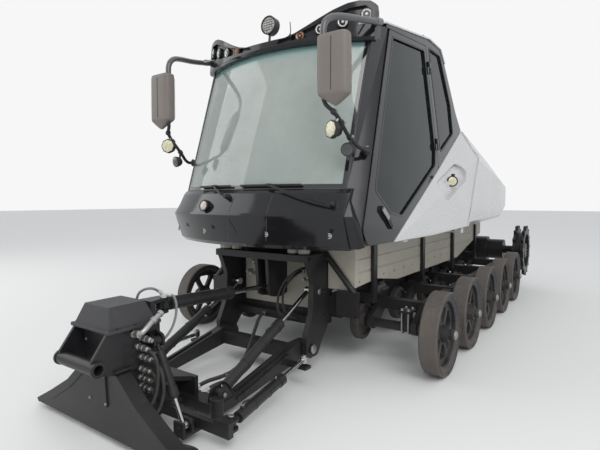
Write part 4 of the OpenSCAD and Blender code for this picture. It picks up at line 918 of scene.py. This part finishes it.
def wiperShapes(pivotX, pivotZ, elbowX, bladeFrom, bladeTo):
    base = float(noseAt(pivotZ))
    out = [pivotX / base, -math.sqrt(1 - (pivotX / base) ** 2), 0.15]
    hub = lathe([[-8, 22], [20, 22], [26, 19], [44, 17], [50, 9]], bowPoint(base, pivotX, pivotZ), out, 22)
    share = np.linspace(0.0, 1.0, 15)
    start, height = base + wiperRest["lift"], wiperRest["height"]
    rise = start + (wiperRest["radius"] - start) * share + wiperRest["bulge"] * np.sin(np.pi * share)
    arm = bowLine(rise, pivotX + (elbowX - pivotX) * share, pivotZ + (height - pivotZ) * share)
    spring = hose(arm[1:6] + [0.0, -7.0, 0.0], 4, 8)
    saddle = pillow(bowPoint(1906.0, elbowX, height), (26, 10, 10), (0.5, 0.5), 10, 18)
    blade = np.linspace(bladeFrom, bladeTo, 25)

    def strip(line, section, lean):
        return closedTube(carried(line, section, lean=lean))

    armShape = strip(arm, [[-8, -3], [8, -3], [8, 3], [-8, 3]], (0, 1, 0))
    bow = strip(bowLine(1897.0, blade, 1472.0), [[-3, -7], [3, -7], [3, 7], [-3, 7]], (0, 0, 1))
    rubber = strip(bowLine(1888.0, blade, 1466.0), [[-7, -2], [7, -4], [7, 4], [-7, 2]], (0, 0, 1))
    return joined([hub, armShape, spring, saddle, bow]), rubber


arms, rubbers = zip(*(wiperShapes(*row) for row in wiperRows))
makePiece("wiper_arms", joined(arms), "chassis", "black_plastic", replaces=("wipers",))
makePiece("wiper_rubbers", joined(rubbers), "chassis", "rubber")
print("nose and wipers ready")

# Couplers and hoses on the head

couplerRows = [[165, -1894, 581], [165, -1914, 533], [165, -1892, 468], [151, -1889, 396], [151, -1890, 345],
               [151, -1892, 292]]  # foot of each coupler on the head's side
makePiece("head_couplers", joined([hexCoupler(row, (1.0, 0.12, -0.1), 1.1) for row in couplerRows]), "head",
          "plated_steel")
swivelBend = [[222, -1939, 616], [234, -1926, 626], [236, -1905, 640], [232, -1876, 658], [226, -1846, 676]]
makePiece("head_swivel_coupler", joined([
    lathe([[0, 22], [20, 22], [22, 17], [40, 17], [42, 23], [62, 23], [64, 18]], (165, -1945, 610),
          (1.0, 0.1, 0.1), 6),
    hose(smoothPath(swivelBend, 5), 16, 14),
    lathe([[0, 21], [24, 21], [26, 15], [62, 15], [64, 20], [84, 20]], (228, -1858, 668), (-8, 70, 36), 16)]),
    "head", "plated_steel")

headHoses = {  # the knots of each hose from its coupler's foot to the foot plate
    "head_hose_1": [[166, -1914, 533], [208, -1910, 528], [250, -1906, 522], [282, -1903, 514],
                    [312, -1898, 482], [322, -1894, 420], [320, -1896, 340], [316, -1915, 268],
                    [312, -1955, 228], [310, -2022, 216]],
    "head_hose_2": [[166, -1892, 468], [208, -1888, 463], [250, -1884, 458], [286, -1880, 448],
                    [328, -1878, 412], [346, -1878, 350], [350, -1884, 280], [350, -1912, 215],
                    [350, -1955, 186], [350, -2022, 178]],
    "head_hose_3": [[152, -1889, 396], [194, -1884, 391], [237, -1880, 386], [262, -1877, 378],
                    [282, -1877, 345], [288, -1880, 290], [286, -1896, 225], [282, -1932, 178],
                    [280, -1970, 160], [280, -2022, 156]],
    "head_hose_4": [[152, -1892, 292], [194, -1887, 287], [237, -1883, 282], [256, -1881, 274],
                    [266, -1884, 240], [266, -1902, 190], [263, -1936, 140], [262, -1975, 122],
                    [262, -2022, 118]],
}
groundLoop = [[470, -2022, 78], [470, -1985, 74], [480, -1930, 56], [515, -1880, 40], [570, -1862, 34],
              [612, -1885, 40], [628, -1935, 52], [630, -1985, 58], [630, -2022, 60]]
coverLoop = [[-84, -1776, 590], [-84, -1752, 594], [-84, -1741, 640], [-78, -1740, 720], [-58, -1736, 776],
             [-28, -1716, 802], [-4, -1684, 806], [2, -1652, 793], [2, -1630, 778]]
mastLoop = [[31, -1613, 742], [36, -1606, 756], [62, -1592, 757], [86, -1582, 748], [104, -1578, 700],
            [108, -1586, 630], [102, -1610, 560], [90, -1650, 505], [84, -1694, 480]]
for name, knots in headHoses.items():
    freeHose(name, knots, 10, "head")
freeHose("head_ground_hose", groundLoop, 12, "head")
freeHose("head_cover_hose", coverLoop, 8, None, "grey_hose",
         bridge=("head", "swing_block", coverLoop[2], coverLoop[6]))
freeHose("mast_hose", mastLoop, 8, "swing_block", "grey_hose")

elbowRows = [  # bend, and foot of the nut under it
    ([[2, -1636, 785], [2, -1616, 772], [2, -1604, 750]], (2, -1603, 738)),
    ([[72, -1588, 755], [48, -1602, 762], [31, -1613, 750]], (30, -1614, 738))]
elbowParts = []
for bend, nutFoot in elbowRows:
    elbowParts.append(hose(smoothPath(bend, 5), 12, 14))
    elbowParts.append(lathe([[0, 17], [14, 17]], nutFoot, (0, 0, 1), 6))
makePiece("mast_elbows", joined(elbowParts), "swing_block", "white_fitting")

screwPlaces = [[-78, -2059, 228], [78, -2059, 228], [-66, -2059, 386], [66, -2059, 386], [-118, -2050, 560],
               [118, -2050, 560]]
makePiece("head_plate_screws", boltHeads(screwPlaces, [0, -1, 0], 7, 6), "head", "plated_steel")
flangePlaces = [[x, y, 660] for x in (-177, 177) for y in (-2040, -1930, -1820)]
makePiece("head_cover_screws", boltHeads(flangePlaces, [0, 0, 1], 7, 6), "head", "black_plastic")
collarRows = [[0, 27], [0, 41], [3, 43], [15, 43], [18, 41], [18, 27]]
makePiece("cross_tube_collars", joined([ringLathe(collarRows, (x, -2162, 475), (1, 0, 0), 40)
                                        for x in (-190, 172)]), "head", "black_paint")
print("head ready")

# Cylinders: gland nuts, bands, ports and hard lines

cylinderRows = [  # body, foot, top, barrel's length and radius, rod's radius, side that the ports are on
    ("lift_barrels", [375, -1475, 150], [375, -460, 632], 700, 37, 17, [-1, 0, 0]),
    ("top_barrel", [0, -1610, 690], [0, -510, 636], 640, 44, 20, [-0.9, 0, 0.4]),
    ("swing_barrel_left", [655, -1668, 120], [560, -800, 200], 560, 34, 16, [0, 0, 1]),
    ("swing_barrel_right", [-655, -1668, 120], [-560, -800, 200], 560, 34, 16, [0, 0, 1]),
    ("tilt_barrel", [205, -1812, 545], [430, -1812, 100], 330, 27, 12, [0, -1, 0]),
]


def cylinderTrim(foot, top, length, radius, rod, side):
    foot, top, side = (np.array(v, float) for v in (foot, top, side))
    along = (top - foot) / np.linalg.norm(top - foot)
    side -= along * (side @ along)
    side /= np.linalg.norm(side)
    low, high = length * 0.2, length - 82.0  # where the ports are
    gland = [[-10, rod + 3], [-10, radius - 1], [8, radius - 1], [12, radius - 5], [12, rod + 3]]
    band = [[0, radius - 2], [0, radius + 2.5], [12, radius + 2.5], [12, radius - 2]]
    port = [[radius - 5, 15], [radius + 9, 15], [radius + 11, 12]]
    nut = [[radius + 9, 11], [radius + 20, 11], [radius + 22, 8]]
    fittings = [ringLathe(gland, foot + along * length, along)]
    fittings += [ringLathe(band, foot + along * length * share, along) for share in (0.38, 0.66)]
    fittings += [lathe(port, foot + along * d, side, 18) for d in (low, high)]
    nuts = [lathe(nut, foot + along * d, side, 6) for d in (low, high)]
    # The line's knots as distance along the barrel and height over it
    rows = ((high, 18), (high - 14, 22), (high - 34, 12), (high - 70, 8), ((low + high) / 2 + 30, 7),
            (low + 95, 8), (low + 55, 16), (low + 16, 24), (low, 18))
    line = smoothPath([foot + along * d + side * (radius + out) for d, out in rows], 6)
    return joined(fittings), joined(nuts), hose(line, 5.5, 10)


for body, *sizes in cylinderRows:
    shapes = cylinderTrim(*sizes)
    if body == "lift_barrels":  # both lift cylinders are one body
        shapes = [bothSides(shape) for shape in shapes]
    makePiece(body + "_fittings", shapes[0], body, "black_paint")
    makePiece(body + "_nuts", shapes[1], body, "plated_steel")
    makePiece(body + "_line", shapes[2], body, "black_paint")
pinRows = np.array([[-2, 15], [4, 15], [7, 11]])
liftPins = joined([lathe(pinRows, (375 + sign * 45, -1475, 150), (sign, 0, 0), 20) for sign in (-1, 1)])
makePiece("lift_foot_pins", bothSides(liftPins), "lift_barrels", "plated_steel")
for side, sign in (("left", 1), ("right", -1)):
    swingPin = lathe(pinRows * [1, 1.1], (sign * 655, -1668, 160), (0, 0, 1), 20)
    makePiece("swing_pin_" + side, swingPin, "swing_barrel_" + side, "plated_steel")
print("cylinders ready")

# Push frame and tower: pins, hard lines, spiral hoses

pivotCap = lathe([[-2, 27], [5, 36], [15, 36], [20, 28], [22, 14]], (486, -570, 200), (1, 0, 0), 28)
makePiece("push_frame_pin_caps", bothSides(pivotCap), "push_frame", "plated_steel")
armLines = ([[435, -800, 217], [435, -930, 190], [435, -1180, 134], [435, -1380, 92]],
            [[385, -800, 247], [385, -930, 218], [385, -1180, 164], [385, -1350, 128]])
clipPlaces = ((435, -860, 206), (435, -1080, 157), (435, -1300, 109))
armTrim = [hose(smoothPath(knots, 6), 6, 10) for knots in armLines]
armTrim += [pillow(place, (9, 14, 12), (0.4, 0.4), 8, 14) for place in clipPlaces]
makePiece("push_frame_lines", bothSides(joined(armTrim)), "push_frame", "black_paint")
bossCaps = [lathe([[138, 44], [146, 44], [150, 40]], (x, -1530, 0), (0, 0, 1), 30) for x in (-405, 405)]
makePiece("push_frame_boss_caps", joined(bossCaps), "push_frame", "black_paint")

spiralHoses = {
    "left": [[86, -426, 372], [90, -470, 366], [104, -530, 338], [118, -600, 300], [136, -690, 272],
             [172, -800, 246], [228, -930, 220], [284, -1060, 200], [306, -1170, 176], [290, -1270, 152],
             [238, -1350, 134], [204, -1400, 112], [190, -1446, 88]],
    "right": [[-104, -426, 372], [-104, -470, 364], [-92, -530, 334], [-60, -600, 296], [-10, -690, 268],
              [56, -800, 240], [128, -930, 208], [186, -1050, 180], [206, -1150, 160], [184, -1250, 142],
              [134, -1330, 126], [106, -1390, 108], [96, -1446, 86]],
}
spiralEnds = []
spiralStarts = []
for side, knots in spiralHoses.items():
    freeHose("spiral_hose_" + side, knots, 15, None, ribs=(12, 0.16),
             bridge=("chassis", "push_frame", knots[2], knots[5]))
    back = np.subtract(knots[-2], knots[-1])
    spiralEnds.append(lathe([[-4, 17], [0, 19], [34, 19], [38, 16]], knots[-1], back, 16))
    spiralEnds.append(lathe([[38, 15], [40, 20], [56, 20], [58, 15]], knots[-1], back, 6))
    spiralStarts.append(lathe([[-8, 18], [0, 20], [22, 20], [26, 17]], knots[0], (0, -1, -0.1), 6))
makePiece("spiral_hose_ends", joined(spiralEnds), "push_frame", "white_fitting")
makePiece("spiral_hose_starts", joined(spiralStarts), "chassis", "plated_steel")

towerHoses = {
    "tower_hose_1": [[300, -332, 800], [300, -372, 800], [282, -425, 792], [236, -470, 760], [172, -500, 690],
                     [126, -518, 600], [112, -524, 510], [122, -520, 430], [150, -494, 386], [180, -452, 372],
                     [196, -422, 370]],
    "tower_hose_2": [[240, -332, 760], [240, -374, 758], [226, -425, 740], [190, -466, 690], [150, -488, 610],
                     [142, -494, 520], [158, -490, 440], [196, -474, 396], [232, -446, 376],
                     [244, -422, 372]],
}
for name, knots in towerHoses.items():
    freeHose(name, knots, 10, "chassis")
towerFittings = [hexCoupler((x, -331, z), (0, -1, 0), 0.85) for x, z in ((330, 720), (286, 700))]
for x, z in ((300, 800), (240, 760)):
    towerFittings.append(lathe([[0, 17], [4, 21], [26, 21], [30, 15]], (x, -331, z), (0, -1, 0), 18))
makePiece("tower_fittings", bothSides(joined(towerFittings)), "chassis", "plated_steel")
towerFace = 480.5  # of its side plates
towerPin = [[-2, 24.7], [5, 24.7], [9, 18.2], [11, 6.5]]
makePiece("tower_pin_heads", joined([lathe(towerPin, (sign * towerFace, -460, 632), (sign, 0, 0), 24)
                                     for sign in (-1, 1)]), "chassis", "plated_steel")
mountRows = [[0, 40], [4, 47], [18, 50], [32, 47], [36, 42], [52, 42], [58, 47], [72, 44], [76, 38]]
cabMounts = joined([lathe(mountRows, (x, -560, 938), (0, 0, 1), 28) for x in (-400, -300, 300, 400)])
makePiece("cab_mount_rubbers", cabMounts, "chassis", "cream_paint")
towerSpots = ((-600, 900), (-400, 900), (-390, 420), (-390, 620))
towerBolts = joined([boltHeads([[sign * towerFace, y, z] for y, z in towerSpots], [sign, 0, 0], 13, 11)
                     for sign in (-1, 1)])
makePiece("tower_bolts", towerBolts, "chassis", "black_paint")
print("carrier ready")

# Running gear: hub caps, clamps and bolts

hubRows = [[-4, 34], [5, 35], [12, 31], [18, 21], [21, 8]]
for side, sign in (("left", 1), ("right", -1)):
    for axle in range(5):
        place = "%s_%d" % (side, axle + 1)
        hub = lathe(hubRows, (sign * 1418, axle * axlePitch, 325), (sign, 0, 0), 28)
        makePiece("hub_cap_" + place, hub, "wheel_" + place, "plated_steel")

uBolt = [[-48, 486], [-48, 400], [-47, 325], [-33, 291], [0, 277], [33, 291], [47, 325], [48, 400], [48, 486]]
clampParts = []
for x in (1008, 1062):
    clampParts.append(hose(smoothPath([[x, y, z] for y, z in uBolt], 4), 7.5, 10, lean=(1, 0, 0)))
    clampParts.append(boltHeads([[x, -48, 470], [x, 48, 470]], [0, 0, 1], 12, 14))
makePiece("shaft_u_bolts", bothSides(joined(clampParts)), "chassis", "plated_steel")
saddle = joined([plate((46, 70), (1035, 0, 452), 18, 3),
                 pillow((1035, 0, 400), (40, 34, 56), (0.25, 0.25), 12, 24)])
makePiece("shaft_saddles", bothSides(saddle), "chassis", "black_paint")

armPlaces = [[x, axle * axlePitch + 250, 455] for axle in range(5) for x in (745.5, 1130.5)]
makePiece("axle_arm_bolts", bothSides(boltHeads(armPlaces, [1, 0, 0], 15, 12)), "chassis", "plated_steel")
bellyPlaces = [[730.5, y, z] for y in range(-260, 3300, 240) for z in (705, 975)]
makePiece("belly_panel_bolts", bothSides(boltHeads(bellyPlaces, [1, 0, 0], 8, 6)), "chassis", "plated_steel")
sprocket = {"face": 1370.5, "centre": np.array([[4020.0], [600.0]]), "circle": 85.0}
sprocketY, sprocketZ = sprocket["centre"] + oval(2 * sprocket["circle"], 2 * sprocket["circle"], 10).T
for side, sign in (("left", 1), ("right", -1)):
    ring = np.stack([np.full(10, sign * sprocket["face"]), sprocketY, sprocketZ], axis=1)
    makePiece("sprocket_bolts_" + side, boltHeads(ring, [sign, 0, 0], 11, 10), "sprocket_" + side,
              "plated_steel")
print("running gear ready")

# Valves between the rails, seen past the front wheel

valveParts = [pillow((650, 300, 560), (42, 90, 34), (0.3, 0.3), 12, 24),
              pillow((650, 330, 606), (30, 40, 16), (0.4, 0.4), 12, 24)]
for y in (250, 295, 340):
    valveParts.append(lathe([[0, 16], [20, 16], [22, 13], [36, 13]], (690, y, 560), (1, 0, 0), 6))
makePiece("valve_blocks", bothSides(joined(valveParts)), "chassis", "cast")

# Seats: cushions with crowned faces and sewn channels

seatLook = {
    "x": (-430.0, 250.0),
    # middle in y and z, half sizes, lean in degrees, crown, channels, groove
    "cushion": (200, 1432, (250, 265, 58), 3, 0.25, (-0.5, 0.5), 0.07),
    "back": (470, 1745, (235, 320, 62), 79.5, 0.2, (-0.5, 0.5), 0.07),
    "headrest": (598, 2145, (138, 88, 48), 79.5, 0.2, (), 0.06),
    "fill": 0.8,
    "channelWidth": 0.045,  # widths and places on a cushion that reaches from -1 to 1
    "channelDepth": 2.2,
    "rim": 1.12,
    "rimWidth": 0.05,
}


def cushion(centre, half, lean, crown, channels, groove):  # crowned, grooved along its channels and rim
    x, y, z = unitPillow(0.35, 0.55, 0.6, 40, 72)
    rise = 1.0 + crown * (1 - x ** 2) * (1 - y ** 2)
    for channel in channels:
        away = (x - channel) / seatLook["channelWidth"]
        rise = rise - groove * seatLook["channelDepth"] * np.exp(-away ** 2)
    rise = rise - groove * np.exp(-((np.hypot(x, y) - seatLook["rim"]) / seatLook["rimWidth"]) ** 2)
    z = np.where(z > 0, z * rise, z)
    c, s = math.cos(math.radians(lean)), math.sin(math.radians(lean))
    shape = np.stack([x, y, z], axis=-1) * half @ np.array([[1, 0, 0], [0, c, s], [0, -s, c]])
    return closedTube(shape + centre)


for number, x in enumerate(seatLook["x"], 1):
    for part in ("cushion", "back", "headrest"):
        y, z, *sizes = seatLook[part]
        pad = makePiece("seat_%s_%d" % (part, number), cushion((x, y, z), *sizes), "chassis", "seat_fabric")
print("seats ready")

# Hood and rear wall: lamps, latch, seals, rails

hoodBack = 4150.0
for side, sign in (("left", 1), ("right", -1)):
    makePiece("tail_lamp_" + side, pillow((sign * 930, hoodBack, 1440), (62, 16, 34), (0.3, 0.5), 14, 30),
              "hood", "red_lens")
hoodLatch = joined([lathe([[-6, 32], [6, 34], [12, 30], [14, 20]], (0, hoodBack, 1330), (0, 1, 0), 28),
                    pillow((0, hoodBack + 18, 1330), (9, 9, 30), (0.5, 0.5), 10, 18)])
makePiece("hood_latch", hoodLatch, "hood", "plated_steel")
louvre = rounded([[-640, 1400], [640, 1400], [640, 1686], [-640, 1686]], 30, 7)
louvrePath = np.insert(louvre, 1, hoodBack, axis=1)
makePiece("louvre_frame", loopStrip(louvrePath, 14, 8, (0, 1, 0)), "hood", "seal_rubber",
          crease=70)
rearX, rearZ = rounded([[-640, 2400], [640, 2400], [640, 2760], [-640, 2760]], 40, 7).T
rearY = 1884.0 - (rearZ - 2352.0) * 454.0 / 530.0
rearPath = np.stack([rearX, rearY + 2.0, rearZ + 2.0], axis=1)
makePiece("rear_window_seal", loopStrip(rearPath, 18, 10, (0, 530, 454)), "chassis", "seal_rubber",
          crease=70)
roofEdge = sideX(2960)
gutter = smoothPath([[roofEdge - 40, -440, 2654], [roofEdge - 44, -60, 2781], [roofEdge - 48, 470, 2871],
                     [roofEdge - 50, 1000, 2961], [roofEdge - 50, 1340, 2961]], 6)
makePiece("roof_gutters", bothSides(hose(gutter, 7, 8)), "chassis", "silver_paint")
print("rear ready")
